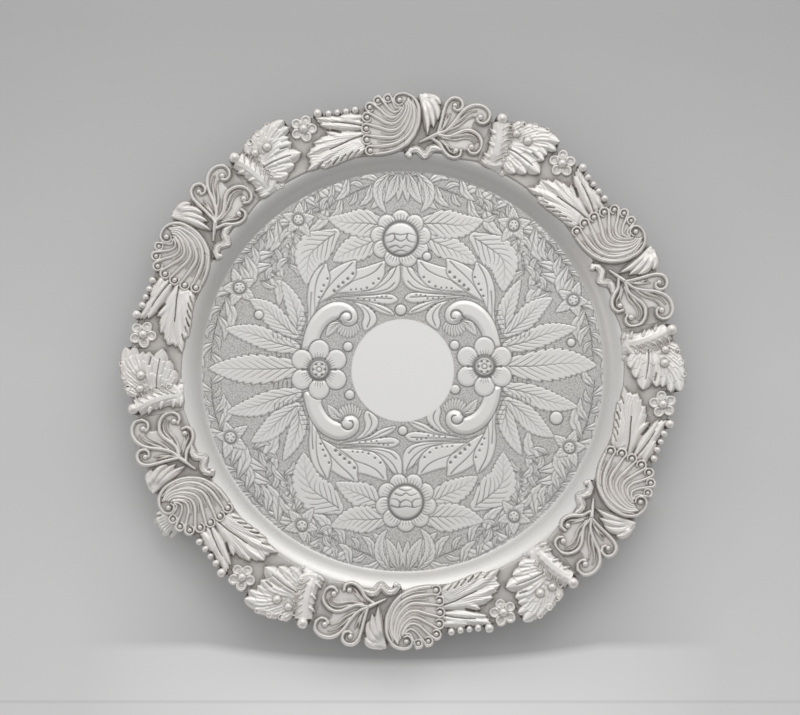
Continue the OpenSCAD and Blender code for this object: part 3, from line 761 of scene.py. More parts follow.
def field_relief(x, y):
    """Relief of the chased field over plan points, above the matted ground."""
    total = Relief(x, y)
    for sx, sy, ox, oy, low, high in QUADRANTS:
        mine = np.flatnonzero((x * sx > -3.0) & (y * sy > -4.0))
        u, v = (x[mine] - ox) * sx, (y[mine] - oy) * sy
        angle = np.degrees(np.arctan2(y[mine] * sy, x[mine] * sx))
        # the outer ring is drawn a little small, and spread to the field's edge here
        radius = np.interp(np.hypot(x[mine], y[mine]), [0, 70, FIELD_R + 2], [0, 70, FIELD_R])
        straight = np.interp(angle, [-10, 0, low, high, 90, 100],
                             [-10, 0, LOW_FLOWER, HIGH_FLOWER, 90, 100])
        a = np.radians(straight)
        # hand work is never quite even, so the outer leaves wander a little
        wander = 0.5 * np.sin(radius * 0.21 + sx * 1.3) * np.sin(a * 9 + sy)
        outer = Relief((radius + wander) * np.cos(a), (radius + wander) * np.sin(a))
        outer_quadrant(outer)
        inner = Relief(u, v)
        inner_quadrant(inner)
        z = np.where(inner.cover > 0, inner.z, outer.z)
        cover = np.maximum(inner.cover, outer.cover)
        line = np.where(inner.cover > 0, inner.line, np.maximum(outer.line, inner.line))
        tone = np.where(inner.cover > 0, inner.tone, outer.tone)
        # ornaments may reach over the middle lines, where no other quadrant's lie
        own = (x[mine] * sx >= 0) & (y[mine] * sy >= -0.6)
        take = own | ((cover > 0) & (total.cover[mine] == 0))
        j = mine[take]
        total.z[j], total.cover[j] = z[take], cover[take]
        total.line[j], total.tone[j] = line[take], tone[take]
    for width, points in [
        (17.5, [(53, 2.2), (66, 2.2), (82, 3.6), (97.6, 2.6)]),
        (16, [(-53, 1.4), (-66, 0.6), (-82, 0.6), (-97.6, 1)]),
    ]:
        leaf(total, points, width, 10, root=0.5, full=0.5, lobes=0.12, slant=1.7)
    for at in ((41, 2), (-42, 0.4)):
        rosette(total, at)
    medallion(total, (-1, 66.4), 1)
    medallion(total, (1.6, -66.2), -1)
    for at, size in [((-1, 30.6), 2.9), ((0, -30.2), 2.4), ((12.2, 57.6), 2.3), ((84.6, 14.2), 2.2),
                     ((77, -23.8), 3.4), ((-72.2, 28), 2.4)]:
        petal(total, at, size, edge=1.0)
    d = np.hypot(x, y)
    total.lay(d < RESERVE_R, 0.06, 0.3)
    rim = np.exp(-((d - RESERVE_R) / 0.3)**2)
    total.line = np.maximum(total.line, 0.25 * rim)
    total.z *= smooth((FIELD_R - 0.3 - d) / 0.8)
    return total


# ---- meshes ---------------------------------------------------------------------------------


def box_blur(z, n, axis):
    """Mean over 2n+1 neighbours along an axis, with the edges repeated."""
    pad = [(0, 0)] * z.ndim
    pad[axis] = (n + 1, n)
    total = np.cumsum(np.pad(z, pad, mode="edge"), axis)
    size = z.shape[axis]
    high = np.take(total, np.arange(2 * n + 1, 2 * n + 1 + size), axis)
    low = np.take(total, np.arange(size), axis)
    return (high - low) / (2 * n + 1)


def blur(z, n):
    """A soft blur of a grid, over about 2n neighbours each way."""
    for _ in range(2):
        z = box_blur(box_blur(z, n, 0), n, 1)
    return z


def make_mesh(name, vertices, faces, attributes=(), sharp=50):
    """faces is a list of arrays or lists of vertex numbers; attributes are (name, values)."""
    mesh = bpy.data.meshes.new(name)
    flat = [np.asarray(f, np.int32) for f in faces]
    counts = np.concatenate([np.full(len(f), f.shape[1]) if f.ndim == 2 else [len(f)] for f in flat])
    corners = np.concatenate([f.ravel() for f in flat])
    mesh.vertices.add(len(vertices))
    mesh.vertices.foreach_set("co", (np.asarray(vertices) * MM).astype(np.float32).ravel())
    mesh.loops.add(len(corners))
    mesh.loops.foreach_set("vertex_index", corners.astype(np.int32))
    mesh.polygons.add(len(counts))
    mesh.polygons.foreach_set("loop_start", np.concatenate([[0], np.cumsum(counts)[:-1]]).astype(np.int32))
    mesh.polygons.foreach_set("use_smooth", np.ones(len(counts), bool))
    for label, values in attributes:
        mesh.attributes.new(label, "FLOAT", "POINT").data.foreach_set(
            "value", np.asarray(values, np.float32))
    mesh.update(calc_edges=True)
    mesh.validate()
    if sharp:
        mesh.set_sharp_from_angle(angle=math.radians(sharp))
    return mesh


def grid_faces(rows, columns, start=0, wrap=False, flip=False):
    """Quads between neighbouring rows of a grid of vertices stored row by row."""
    i = np.arange(rows - 1)[:, None]
    j = np.arange(columns if wrap else columns - 1)[None, :]
    k = (j + 1) % columns
    a, b = i * columns + j, i * columns + k
    quads = np.stack([a, b, b + columns, a + columns], -1).reshape(-1, 4) + start
    return quads[:, ::-1] if flip else quads


def tube(rings):
    """Vertices and faces of a closed solid through rings of points."""
    n, count, _ = rings.shape
    end = np.arange(count)
    return rings.reshape(-1, 3), [grid_faces(n, count, wrap=True), end[::-1], (n - 1) * count + end]


def gathered(solids):
    """Vertices and faces of several solids together."""
    starts = np.cumsum([0] + [len(vertices) for vertices, _ in solids])
    faces = [f + start for (_, group), start in zip(solids, starts) for f in group]
    return np.vstack([vertices for vertices, _ in solids]), faces


def show(name, mesh, material, node):
    """Adds a piece that stands for a CAD node."""
    piece = bpy.data.objects.new(name, mesh)
    bpy.context.scene.collection.objects.link(piece)
    mesh.materials.append(material)
    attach(piece, "root")
    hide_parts(node)


def border_mesh():
    """One cast section of the border, as a closed mesh that follows its own ragged outline."""
    columns, rows, fine = ((640, 150, 0.1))
    angle = np.radians(np.linspace(SEAM + SEAM_GAP, SEAM + SECTION - SEAM_GAP, columns))
    radius = np.arange(98, 142, fine)   # wide enough to hold the whole border
    a, q = np.meshgrid(angle, radius, indexing="ij")
    relief, solid = border_relief((q * np.cos(a)).ravel(), (q * np.sin(a)).ravel())
    z, solid = relief.z.reshape(a.shape), solid.reshape(a.shape)
    line = relief.line.reshape(a.shape)
    ground = 1 - relief.cover.reshape(a.shape)
    inner = radius[np.argmax(solid, 1)]
    outer = radius[len(radius) - 1 - np.argmax(solid[:, ::-1], 1)]
    for _ in range(2):
        inner = np.convolve(np.pad(inner, 1, mode="edge"), [0.25, 0.5, 0.25], "valid")
        outer = np.convolve(np.pad(outer, 1, mode="edge"), [0.25, 0.5, 0.25], "valid")
    z = np.maximum(z, EDGE_SHARE * PANEL_T)
    share = np.linspace(0, 1, rows)
    at = inner[:, None] + (outer - inner)[:, None] * share
    step = (at - radius[0]) / fine
    low = np.clip(step.astype(int), 0, len(radius) - 2)
    part = step - low
    pick = np.arange(columns)[:, None]
    height = z[pick, low] * (1 - part) + z[pick, low + 1] * part
    # patina and painted shade: darker in small hollows, in broad recesses, in cut lines and on the bare
    # panel between ornaments
    cut = line[pick, low]
    bare = blur(ground[pick, low], 2)
    near = columns // 160
    hollow = np.clip((blur(height, near) - height) / 0.6, 0, 1)
    wide = np.clip((blur(height, near * 3) - height) / 2.0, 0, 1)
    patina_and_shade = np.clip(0.40 * hollow + 0.75 * wide + 0.5 * cut + 0.52 * bare, 0, 1)
    c, s = np.cos(angle)[:, None], np.sin(angle)[:, None]
    top = np.stack([at * c, at * s, FLANGE_Z + height], -1)
    base = top[:, [0, -1]].copy()
    base[:, :, 2] = FLANGE_Z
    n = columns * rows
    vertices = np.vstack([top.reshape(-1, 3), base.reshape(-1, 3)])
    k = np.arange(columns - 1)
    foot_in, foot_out = n + 2 * k, n + 2 * k + 1
    top_in, top_out = k * rows, k * rows + rows - 1
    faces = [grid_faces(columns, rows)[:, ::-1],
             np.stack([top_in, foot_in, foot_in + 2, top_in + rows], 1)[:, ::-1],
             np.stack([top_out, top_out + rows, foot_out + 2, foot_out], 1)[:, ::-1],
             np.stack([foot_in, foot_out, foot_out + 2, foot_in + 2], 1)[:, ::-1],
             np.concatenate([np.arange(rows), [n + 1, n]]),
             np.concatenate([n - rows + np.arange(rows), [n + 2 * columns - 1, n + 2 * columns - 2]])[::-1]]
    pad = np.zeros(2 * columns)
    return make_mesh("border_section", vertices, faces,
                     [("patina_and_shade", np.concatenate([patina_and_shade.ravel(), pad + 0.4]))])


def disc_points(n):
    """A square grid drawn onto the unit disc with little stretch, row by row."""
    u, v = np.meshgrid(np.linspace(-1, 1, n + 1), np.linspace(-1, 1, n + 1), indexing="xy")
    wide = np.abs(u) >= np.abs(v)
    with np.errstate(divide="ignore", invalid="ignore"):
        turn = np.where(wide, np.pi / 4 * v / u, np.pi / 2 - np.pi / 4 * u / v)
    turn = np.where((u == 0) & (v == 0), 0, turn)
    radius = np.where(wide, u, v)
    return radius * np.cos(turn), radius * np.sin(turn)


def tray_mesh():
    """The chased tray plate: field, bouge and flange, closed underneath."""
    n = 640
    x, y = disc_points(n)
    x, y = x * FIELD_R, y * FIELD_R
    relief = field_relief(x.ravel(), y.ravel())
    height = relief.z.reshape(x.shape)
    top = np.stack([x.ravel(), y.ravel(), FIELD_Z + height.ravel()], -1)
    # the patina attribute darkens the cut lines, as tarnish in the engraving, and the small hollows, as
    # tarnish and painted shade
    near = max(1, n // 320)
    hollow = np.clip((blur(height, near * 2) - height) / 0.25, 0, 1)
    patina_and_shade = np.clip(relief.line.reshape(x.shape) + 0.30 * hollow, 0, 1)
    matted = 1 - np.clip(relief.cover.reshape(x.shape), 0, 1)
    # the outline of the grid, anticlockwise from its first corner
    side = np.arange(n)
    rim = np.concatenate([side, side * (n + 1) + n, (n + 1)**2 - 1 - side, (n - side) * (n + 1)])
    angle = np.arctan2(y.ravel()[rim], x.ravel()[rim])
    edge_z = FLANGE_Z - FIELD_Z
    # slopes at even steps from the field to the flange, scaled to end at the flange's height
    out = np.linspace(FIELD_R, BOUGE_R + 3.5, 30)
    slope = np.interp(out, [FIELD_R, 101.3, 102.4, 103.8, 105, 106.5, 108, 110],
                      [0.05, 0.75, 1.0, 0.95, 0.62, 0.46, 0.34, 0.16])
    rise = np.concatenate([[0], np.cumsum((slope[1:] + slope[:-1]) / 2)])
    rings = [(r, FIELD_Z + edge_z * h) for r, h in zip(out[1:], (rise / rise[-1])[1:])]
    under, low, soft = FLANGE_Z - SHEET_T, FIELD_Z - 1.0, 0.3
    rings += [(112, FLANGE_Z), (120, FLANGE_Z), (FLANGE_R - soft, FLANGE_Z), (FLANGE_R, FLANGE_Z - soft),
              (FLANGE_R, under + soft), (FLANGE_R - soft, under), (120, under), (BOUGE_R + 0.9, under)]
    rings += [(FIELD_R + 0.9 + (BOUGE_R - FIELD_R) * t, low + (under - low) * smooth(t))
              for t in np.linspace(1, 0, 9)[1:]]
    rings += [(90, low), (60, low), (30, low), (8, low)]
    radii, heights = np.array(rings).T
    ring_points = np.stack([radii[:, None] * np.cos(angle), radii[:, None] * np.sin(angle),
                            np.repeat(heights[:, None], len(angle), 1)], -1)
    m, count = len(angle), (n + 1)**2
    vertices = np.vstack([top, ring_points.reshape(-1, 3)])
    first = count + np.arange(m)
    joined = np.stack([rim, first, np.roll(first, -1), np.roll(rim, -1)], 1)
    last = count + (len(rings) - 1) * m + np.arange(m)
    faces = [grid_faces(n + 1, n + 1), joined,
             grid_faces(len(rings), m, start=count, wrap=True, flip=True), last]
    # the curved side is darker and duller than the flange
    dull_side = np.interp(radii, [FIELD_R, 101.5, 104.5, 107, 110], [0.15, 0.34, 0.32, 0.14, 0.1])
    extra = np.zeros(len(rings) * m)
    return make_mesh("tray", vertices, faces,
                     [("patina_and_shade", np.concatenate([patina_and_shade.ravel(), np.repeat(dull_side, m)])),
                      ("matted", np.concatenate([matted.ravel(), extra])),
                      ("tone", np.concatenate([relief.tone, extra]))], sharp=40)


def lathe(profile, count, centre):
    """A turned solid; the profile is (radius, height) from bottom to top."""
    a = np.linspace(0, 2 * np.pi, count, endpoint=False)
    r, z = np.array(profile, float).T
    return tube(np.stack([centre[0] + r[:, None] * np.cos(a), centre[1] + r[:, None] * np.sin(a),
                          np.repeat(z[:, None], count, 1)], -1))


def pins_mesh():
    """Six rivets through border and flange, with domed heads on top and flat ones below."""
    low, high = FLANGE_Z - SHEET_T, FLANGE_Z + PANEL_T
    profile = [(0.5, low - 0.5), (1.15, low - 0.45), (1.4, low - 0.2), (1.4, low), (0.78, low),
               (0.78, high - 0.5), (1.0, high - 0.35), (1.0, high - 0.2), (0.9, high), (0.7, high + 0.12),
               (0.35, high + 0.2)]
    rivets = [lathe(profile, 28, around((0, 0), PIN_R, PIN_ANGLE + SECTION * k)) for k in range(6)]
    return make_mesh("border_rivets", *gathered(rivets), sharp=45)


def blob(centre, size, turn=0.0, tip=0.0):
    """An egg-shaped solid that lies along +X, turned about Z in radians. tip makes its far end thin."""
    count = 24
    t = np.linspace(0, math.pi, count)
    a = np.linspace(0, 2 * math.pi, count, endpoint=False)
    x = -np.cos(t)
    r = np.sin(t) * (1 - 0.25 * tip * x)
    p = np.stack([np.repeat(x[:, None], count, 1), r[:, None] * np.cos(a), r[:, None] * np.sin(a)], -1)
    p = p * np.array(size)
    c, s = math.cos(turn), math.sin(turn)
    p = np.stack([p[..., 0] * c - p[..., 1] * s, p[..., 0] * s + p[..., 1] * c, p[..., 2]], -1)
    return (p + np.array(centre)).reshape(-1, 3), [grid_faces(count, count, wrap=True, flip=True)]


def sweep(points, sizes, count=20):
    """A tapered limb along points; sizes are (half width across, half thickness) at each point."""
    p, q = np.array(points, float), np.array(sizes, float)
    along = np.linspace(0, len(p) - 1, 6 * len(p))
    k = np.arange(len(p))
    path = np.stack([np.interp(along, k, p[:, i]) for i in range(3)], 1)
    size = np.stack([np.interp(along, k, q[:, i]) for i in range(2)], 1)
    for _ in range(6):
        for line in (path, size):
            line[1:-1] = (line[:-2] + 2 * line[1:-1] + line[2:]) / 4
    run = np.gradient(path, axis=0)
    run /= np.linalg.norm(run, axis=1, keepdims=True)
    across = np.cross(run, np.array([0.0, 0.0, 1.0]))
    weak = np.linalg.norm(across, axis=1) < 0.2
    across[weak] = np.array([0.0, 1.0, 0.0])
    across /= np.linalg.norm(across, axis=1, keepdims=True)
    across = np.where(across[:, 1:2] < 0, -across, across)
    normal = np.cross(across, run)
    a = np.linspace(0, 2 * math.pi, count, endpoint=False)
    return tube(path[:, None] + across[:, None] * (size[:, :1] * np.cos(a))[..., None]
                + normal[:, None] * (size[:, 1:] * np.sin(a))[..., None])


# ---- feet -----------------------------------------------------------------------------------
# A foot is worked out in its own frame: +X points outwards from the salver's middle, and x = 0
# is at FOOT_R.


def foot_solids():
    """The separate solids that are joined into one cast foot."""
    solids = []
    # leg: leaves the flange, bows out at the knee and comes in above the paw
    solids.append(sweep([(-12, 0, 21), (-7, 0, 19.2), (-1.5, 0, 17.4), (2.4, 0, 14.2), (3, 0, 10.4),
                         (2.2, 0, 7.2), (3.2, 0, 4.6)],
                        [(6.4, 1.6), (6.8, 2.6), (6, 3.6), (5, 3.8), (4, 3.2), (3.9, 3.2), (5, 3.4)]))
    # paw: four toes and the pad behind them
    for y, turn, far in [(-4.6, -0.42, 6.4), (-1.6, -0.14, 7.4), (1.6, 0.14, 7.4), (4.6, 0.42, 6.4)]:
        solids.append(blob((far * 0.92, y, 2.6), (3.7, 1.75, 2.55), turn, tip=0.3))
        solids.append(blob((far + 1.9, y * 1.16, 1.6), (1.7, 1.1, 1.5), turn, tip=0.6))
    solids.append(blob((2.4, 0, 2.5), (5, 5.2, 2.5)))
    # leaves that wrap the knee and spread under the border
    for side in (-1, 1):
        for reach, rise, thick in [(10.6, 19.6, 1.1), (9.4, 15.6, 1), (7.2, 11.4, 0.9)]:
            solids.append(sweep([(-3.4, side * 2.5, rise), (0.2, side * (reach * 0.55), rise - 0.3),
                                 (1.8, side * reach * 0.86, rise - 1.7), (1.6, side * reach, rise - 3.6)],
                                [(2.2, thick + 0.4), (2.3, thick + 0.3), (1.6, thick), (0.6, 0.5)]))
        solids.append(sweep([(-12, side * 2, 21.0), (-9, side * 6, 20.6), (-4, side * 10, 20.4),
                             (1, side * 12, 19.4)],
                            [(3, 1), (3.4, 1.2), (2.6, 1.1), (0.9, 0.6)]))
        # scroll at each side of the knee
        turn = [(3.2 + s * math.cos(a), side * 4.6, 15.4 + s * math.sin(a))
                for s, a in zip(np.linspace(3.3, 0.8, 12), np.linspace(2.6, -6, 12))]
        solids.append(sweep(turn, [(1.2, 0.85)] * 8 + [(1.2, 0.7)] * 4, count=12))
    # middle leaf down the front, turned out at its tip
    solids.append(sweep([(-2, 0, 20.6), (3.6, 0, 19.6), (7.2, 0, 16.4), (7.4, 0, 12.4), (6.4, 0, 9.4),
                         (8.2, 0, 8)],
                        [(5, 1), (4.6, 1.2), (3.6, 1.2), (2.8, 1.1), (2, 1), (0.7, 0.6)]))
    for side in (-1, 1):
        solids.append(sweep([(1, side * 1.6, 20.0), (5.6, side * 2.4, 18.2), (8.4, side * 3.0, 15.0)],
                            [(1.7, 1), (1.8, 1.1), (0.8, 0.6)]))
        solids.append(sweep([(5.4, side * 1.2, 16.4), (7.6, side * 2.0, 13.6), (8.6, side * 2.9, 10.9)],
                            [(1.5, 0.9), (1.5, 0.9), (0.6, 0.5)]))
    return solids


def read_values(items, key, width, kind=float):
    """A value of each item of a mesh, as the rows of an array."""
    flat = np.zeros(len(items) * width, kind)
    items.foreach_get(key, flat)
    return flat.reshape(-1, width)


def foot_mesh():
    """Joins a foot's solids by remeshing, smooths it, and cuts the veins and the nails' roots."""
    rough_mesh = make_mesh("foot_rough", *gathered(foot_solids()), sharp=0)
    rough = bpy.data.objects.new("foot_rough", rough_mesh)
    bpy.context.scene.collection.objects.link(rough)
    joined = rough.modifiers.new("join", "REMESH")
    joined.mode = "VOXEL"
    joined.voxel_size = 0.24 * MM
    soft = rough.modifiers.new("soft", "SMOOTH")
    soft.factor = 0.5
    soft.iterations = 4
    final = rough.evaluated_get(bpy.context.evaluated_depsgraph_get())
    mesh = bpy.data.meshes.new_from_object(final)
    bpy.data.objects.remove(rough)
    co = read_values(mesh.vertices, "co", 3) / MM
    x, y, z = co.T
    # veins on the leaves, which fan out from the middle line
    fan = np.arctan2(y, 26 - z)
    vein = np.clip(np.cos(fan * 40), 0, 1)**3 * smooth((z - 6.5) / 3) * smooth((20.6 - z) / 1.5) * (x > -1)
    nails = np.exp(-((x - 9.2) / 0.35)**2) * smooth((4.5 - z) / 1.0)
    depth = 0.26 * vein + 0.25 * nails
    co -= read_values(mesh.vertices, "normal", 3) * depth[:, None]
    co[:, 2] = np.clip(co[:, 2], 0.0, FOOT_H - 0.02)
    mesh.vertices.foreach_set("co", (co * MM).astype(np.float32).ravel())
    mesh.polygons.foreach_set("use_smooth", np.ones(len(mesh.polygons), bool))
    mesh.update()
    a, b = read_values(mesh.edges, "vertices", 2, np.int32).T
    # the patina attribute darkens the foot's recesses: tarnish and painted shade
    hollow = hollows(co, read_values(mesh.vertices, "normal", 3), a, b)
    mesh.attributes.new("patina_and_shade", "FLOAT", "POINT").data.foreach_set("value", hollow.astype(np.float32))
    return mesh


def hollows(co, normal, a, b):
    """A share from 0 on flat or proud places to 1 in recesses, spread over neighbours."""
    total = np.zeros(len(co))
    count = np.zeros(len(co))
    run = co[b] - co[a]
    size = np.maximum(np.linalg.norm(run, axis=1), 1e-6)
    bend = ((normal[b] - normal[a]) * run).sum(1) / size**2
    for end in (a, b):
        np.add.at(total, end, bend)
        np.add.at(count, end, 1)
    value = np.clip(-total / np.maximum(count, 1), -1, 1)
    for _ in range(12):
        total[:] = 0
        np.add.at(total, a, value[b])
        np.add.at(total, b, value[a])
        value = 0.5 * value + 0.5 * total / np.maximum(count, 1)
    return np.clip(value * 3.0 + 0.1, 0, 1)


def bent_leaf(foot):
    """A copy of the foot whose front leaves are bent outwards, past the border's edge."""
    copy = foot.copy()
    x, y, z = (read_values(copy.vertices, "co", 3) / MM).T
    lift = smooth((x - 1.5) / 5.5) * smooth((z - 8.0) / 4.0)
    bent = np.stack([x + 7.0 * lift, y * (1 + 0.35 * lift), z], 1) * MM
    copy.vertices.foreach_set("co", bent.astype(np.float32).ravel())
    copy.update()
    return copy


# ---- materials ------------------------------------------------------------------------------


class Nodes:
    """Short calls for building a node tree."""

    def __init__(self, name):
        self.material = bpy.data.materials.new(name)
        self.material.use_nodes = True
        self.tree = self.material.node_tree
        self.tree.nodes.clear()
        self.out = self.tree.nodes.new("ShaderNodeOutputMaterial")

    def link(self, value, socket):
        """Links a node's output to a socket, or sets the socket to a plain value."""
        if isinstance(value, bpy.types.NodeSocket):
            self.tree.links.new(value, socket)
        else:
            socket.default_value = value

    def add(self, kind, inputs, output=0, **settings):
        """Adds a node with its inputs and settings, and returns one of its outputs."""
        node = self.tree.nodes.new(kind)
        for key, value in settings.items():
            setattr(node, key, value)
        for key, value in inputs.items():
            self.link(value, node.inputs[key])
        return node.outputs[output]

    def math(self, operation, a, b=0.0):
        return self.add("ShaderNodeMath", {0: a, 1: b}, operation=operation)

    def times(self, a, b):
        return self.math("MULTIPLY", a, b)

    def plus(self, a, b):
        return self.math("ADD", a, b)

    def scale_range(self, value, low, high, to_low=0.0, to_high=1.0):
        """Maps low to to_low and high to to_high, with what is outside held at the ends."""
        return self.add("ShaderNodeMapRange", {"Value": value, "From Min": low, "From Max": high,
                                               "To Min": to_low, "To Max": to_high})

    def mix(self, share, a, b):
        node = self.tree.nodes.new("ShaderNodeMix")
        node.data_type = "RGBA"
        for socket, value in ((node.inputs[0], share), (node.inputs[6], a), (node.inputs[7], b)):
            self.link(value, socket)
        return node.outputs[2]

    def noise(self, place, size, detail, rough=0.5):
        """Noise whose patches are about size millimetres across."""
        return self.add("ShaderNodeTexNoise", {"Vector": place, "Scale": 1 / (size * MM),
                                               "Detail": detail, "Roughness": rough})

    def attribute(self, name):
        return self.add("ShaderNodeAttribute", {}, "Fac", attribute_name=name)


DULLING = 0.2    # roughness that full patina adds
PUNCH_MM = 0.7   # size of the punched cells of the matted ground


def silver(name, light, dark, rough, depth, bump, chased=False):
    """Silver that is darker and duller where the mesh's patina attribute is high: tarnish plus painted shade
    in hollows, recesses and cuts.

    depth is how far the patina goes towards the dark colour. A chased surface also has polishing
    lines, a brighter plain tone where the tone attribute is high, and a matted ground where the
    matted attribute is.
    """
    n = Nodes(name)
    place = n.add("ShaderNodeTexCoord", {}, "Object")
    patina_and_shade = n.attribute("patina_and_shade")
    patches = n.scale_range(n.noise(place, 26, 4, 0.6), 0.35, 0.7)
    grain = n.noise(place, 0.9, 4, 0.65)
    # random grain dirt, plus tarnish and painted shade from the patina attribute, pull the colour towards
    # the dark one
    dirt_and_shade = n.times(n.scale_range(grain, 0.45, 0.75), 0.06)
    dirt_and_shade = n.plus(n.times(patina_and_shade, depth), dirt_and_shade)
    dirt_and_shade = n.math("MINIMUM", dirt_and_shade, 1.0)
    warm = n.mix(n.times(patches, 0.5), light, (light[0], light[1] * 0.955, light[2] * 0.925, 1))
    if chased:
        bright = tuple(min(c * 1.12, 1) for c in light)
        warm = n.mix(n.times(n.attribute("tone"), 3.0), warm, bright)
    colour = n.mix(dirt_and_shade, warm, dark)
    haze = n.plus(n.times(patina_and_shade, DULLING), n.times(grain, 0.10))
    haze = n.plus(haze, rough - 0.05)
    height = n.times(grain, 0.25)
    if chased:
        punched = n.attribute("matted")
        cells = n.add("ShaderNodeTexVoronoi", {"Vector": place, "Scale": 1 / (PUNCH_MM * MM)})
        rims = n.times(n.scale_range(cells, 0.2, 0.7), punched)
        colour = n.mix(n.times(rims, 0.36), colour, dark)
        colour = n.mix(n.times(punched, 0.10), colour, dark)
        haze = n.plus(haze, n.times(punched, 0.14))
        pits = n.times(n.math("SUBTRACT", 0.75, cells), punched)
        height = n.plus(height, n.times(pits, 2.2))
        stretched = n.add("ShaderNodeMapping", {"Vector": place, "Scale": (1.0, 0.03, 1.0)})
        lines = n.noise(stretched, 0.35, 2, 0.5)
        height = n.plus(height, n.times(lines, 0.10))
        haze = n.plus(haze, n.times(lines, 0.05))
    normal = n.add("ShaderNodeBump", {"Strength": 1.0, "Distance": bump * MM, "Height": height})
    shader = n.add("ShaderNodeBsdfPrincipled", {"Base Color": colour, "Metallic": 1.0, "Roughness": haze,
                                                "Normal": normal})
    n.link(shader, n.out.inputs[0])
    return n.material


def floor_material():
    """Grey paper with painted light falloff, lighter towards -Y and darker at the sides, with a painted
    shadow band and a painted bright patch in front of the salver, and a faint joint there.
    """
    white, dark = (1, 1, 1, 1), (0.1, 0.1, 0.1, 1)
    n = Nodes("studio_paper")
    place = n.add("ShaderNodeTexCoord", {}, "Object")
    split = n.tree.nodes.new("ShaderNodeSeparateXYZ")
    n.link(place, split.inputs[0])
    along, across = split.outputs[1], split.outputs[0]
    aside = n.math("ABSOLUTE", across)
    # painted light falloff: the floor is lighter towards -Y, in front of the salver
    colour = n.mix(n.scale_range(along, 0.18, 0.0), (0.55, 0.55, 0.55, 1), (0.72, 0.72, 0.72, 1))
    colour = n.mix(n.scale_range(along, -0.05, -0.17), colour, (0.78, 0.78, 0.78, 1))
    # painted shade: the floor is darker towards the sides
    painted_side_falloff = n.scale_range(n.math("POWER", aside, 2.0), 0.002, 0.045)
    colour = n.mix(n.times(painted_side_falloff, 0.08), colour, dark)
    # along a shallow curve in front of the salver: a painted shadow band before it, painted bright paper
    # past it
    bow = n.math("MINIMUM", n.math("POWER", n.math("DIVIDE", aside, 0.1), 2.0), 1.0)
    line = n.plus(n.times(bow, 0.0085), -0.1455)
    past = n.scale_range(n.math("SUBTRACT", line, along), -0.002, 0.003)
    # painted shadow: a dark band in front of the salver that fades out to the sides
    painted_shadow_band = n.times(n.scale_range(along, -0.085, -0.135), n.math("SUBTRACT", 1.0, past))
    painted_shadow_band = n.times(painted_shadow_band, n.scale_range(aside, 0.165, 0.07, 0.0, 0.30))
    colour = n.mix(painted_shadow_band, colour, dark)
    # painted light: white past the curve, strongest in the middle
    colour = n.mix(n.times(past, n.scale_range(aside, 0.16, 0.02)), colour, white)
    joint = n.math("ABSOLUTE", n.plus(along, 0.1655))
    colour = n.mix(n.scale_range(joint, 0.0, 0.0011, 0.16, 0.0), colour, dark)
    colour = n.mix(n.times(n.noise(place, 30, 3), 0.03), colour, dark)
    shader = n.add("ShaderNodeBsdfPrincipled", {"Base Color": colour, "Roughness": 0.85})
    n.link(shader, n.out.inputs[0])
    return n.material


# ---- assembly -------------------------------------------------------------------------------


def build():
    """Makes the eleven pieces, one for each CAD node."""
    tray_silver = silver("tray_silver_chased", (0.775, 0.77, 0.755, 1), (0.10, 0.095, 0.09, 1),
                         rough=0.34, depth=0.72, bump=0.02, chased=True)
    border_silver = silver("border_silver_cast", (0.82, 0.803, 0.782, 1), (0.17, 0.155, 0.14, 1),
                           rough=0.42, depth=0.62, bump=0.05)
    foot_silver = silver("foot_silver_cast", (0.80, 0.785, 0.76, 1), (0.15, 0.135, 0.12, 1),
                         rough=0.36, depth=0.75, bump=0.05)
    pin_silver = silver("pin_silver_dull", (0.72, 0.71, 0.69, 1), (0.12, 0.11, 0.10, 1),
                        rough=0.40, depth=0.8, bump=0.03)
    show("tray", tray_mesh(), tray_silver, "tray_plate")
    section = border_mesh()
    for k in range(6):
        cast = moved(section, (0, 0), -SECTION * k)
        show(f"border_{k + 1}", cast, border_silver, f"border_section_{k + 1}")
    show("rivets", pins_mesh(), pin_silver, "border_pins")
    foot = foot_mesh()
    for k, turn in enumerate(FOOT_ANGLES):
        shape = bent_leaf(foot) if turn == BENT_FOOT else foot
        cast = moved(shape, around((0, 0), FOOT_R, turn), turn)
        show(f"foot_cast_{k + 1}", cast, foot_silver, f"foot_{k + 1}")


def moved(mesh, at, turn):
    """A copy of a mesh turned about Z by degrees and then moved in plan."""
    copy = mesh.copy()
    spin = Matrix.Rotation(math.radians(turn), 4, "Z")
    copy.transform(Matrix.Translation((at[0] * MM, at[1] * MM, 0)) @ spin)
    return copy


def area_light(name, at, size, power, colour):
    """A soft rectangular light that points at the origin."""
    data = bpy.data.lights.new(name, "AREA")
    data.shape = "RECTANGLE"
    data.size, data.size_y = size
    data.energy = power
    data.color = colour
    light = bpy.data.objects.new(name, data)
    bpy.context.scene.collection.objects.link(light)
    light.location = at
    light.rotation_euler = (-Vector(at)).to_track_quat("-Z", "Y").to_euler()
    light.visible_camera = False


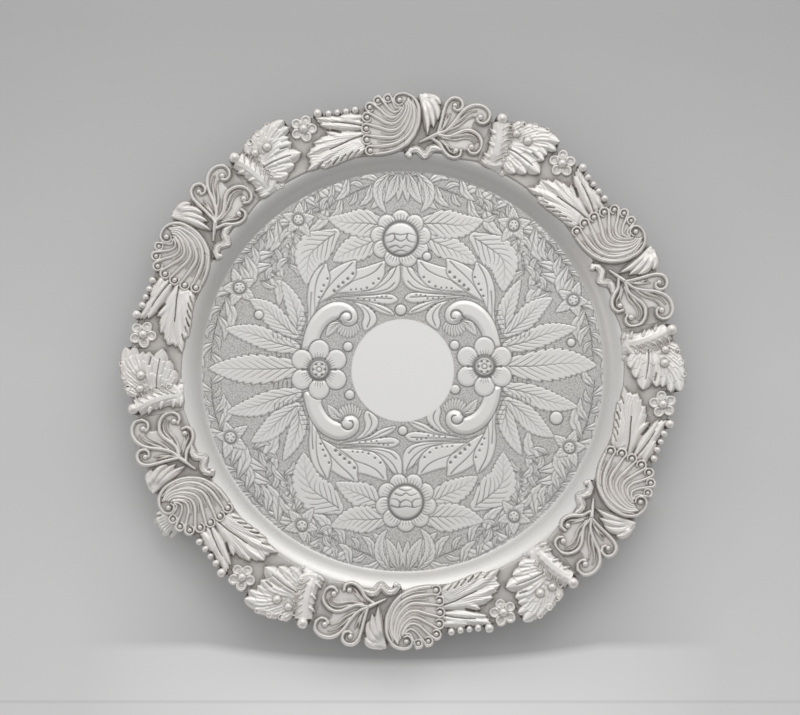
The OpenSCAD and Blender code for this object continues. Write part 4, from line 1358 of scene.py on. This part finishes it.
def studio():
    """Paper floor with painted light falloff and a painted shadow, a pale overcast sky that is darker
    towards -Y, and two soft lights.
    """
    far = 9.0   # half the floor's width in metres, so that its end is out of sight in side views
    floor_mesh = bpy.data.meshes.new("studio_floor")
    floor_mesh.from_pydata([(-far, -far, 0), (far, -far, 0), (far, far, 0), (-far, far, 0)], [],
                           [(0, 1, 2, 3)])
    floor = bpy.data.objects.new("studio_floor", floor_mesh)
    bpy.context.scene.collection.objects.link(floor)
    floor_mesh.materials.append(floor_material())
    area_light("key", (0.2, 1.2, 1.9), size=(1.5, 1.0), power=5, colour=(1, 1, 1))
    area_light("side", (-1.9, -0.4, 1.1), size=(0.6, 0.9), power=1.8, colour=(1.0, 0.93, 0.90))
    world = bpy.data.worlds.new("studio")
    world.use_nodes = True
    tree = world.node_tree
    place = tree.nodes.new("ShaderNodeTexCoord")
    split = tree.nodes.new("ShaderNodeSeparateXYZ")
    tree.links.new(place.outputs["Generated"], split.inputs[0])
    # each lobe goes from a to b as the direction's share along an axis goes from low to high
    sky = None
    for axis, low, high, a, b in ((2, 0.05, 0.6, 0.70, 0.40), (2, 0.86, 1.0, 0.0, 0.14),
                                  (1, -0.34, 0.12, 0.0, 0.30), (1, 0.15, 0.95, 0.0, 0.38)):
        lobe = tree.nodes.new("ShaderNodeMapRange")
        lobe.interpolation_type = "SMOOTHSTEP"
        tree.links.new(split.outputs[axis], lobe.inputs["Value"])
        for key, value in (("From Min", low), ("From Max", high), ("To Min", a), ("To Max", b)):
            lobe.inputs[key].default_value = value
        if sky is None:
            sky = lobe.outputs[0]
        else:
            total = tree.nodes.new("ShaderNodeMath")
            tree.links.new(sky, total.inputs[0])
            tree.links.new(lobe.outputs[0], total.inputs[1])
            sky = total.outputs[0]
    tree.links.new(sky, tree.nodes["Background"].inputs[1])
    tree.nodes["Background"].inputs[0].default_value = (1, 1, 1, 1)
    bpy.context.scene.world = world


def camera():
    """A long lens almost straight above, as far off as a studio stand holds it."""
    data = bpy.data.cameras.new("camera")
    distance, view_width, sensor = 2.0, 0.400, 36
    data.sensor_width = sensor
    data.lens = sensor * distance / view_width
    data.clip_end = 20
    cam = bpy.data.objects.new("camera", data)
    bpy.context.scene.collection.objects.link(cam)
    aim = Vector((-0.00145, 0.0060, 0.025))
    back = Vector((-0.012, -0.087, 1)).normalized()
    cam.location = aim + back * distance
    right = Vector((0, 1, 0)).cross(back).normalized()
    cam.rotation_euler = Matrix((right, back.cross(right), back)).transposed().to_euler()
    bpy.context.scene.camera = cam


build()
studio()
camera()
bpy.context.scene.view_settings.view_transform = "Standard"
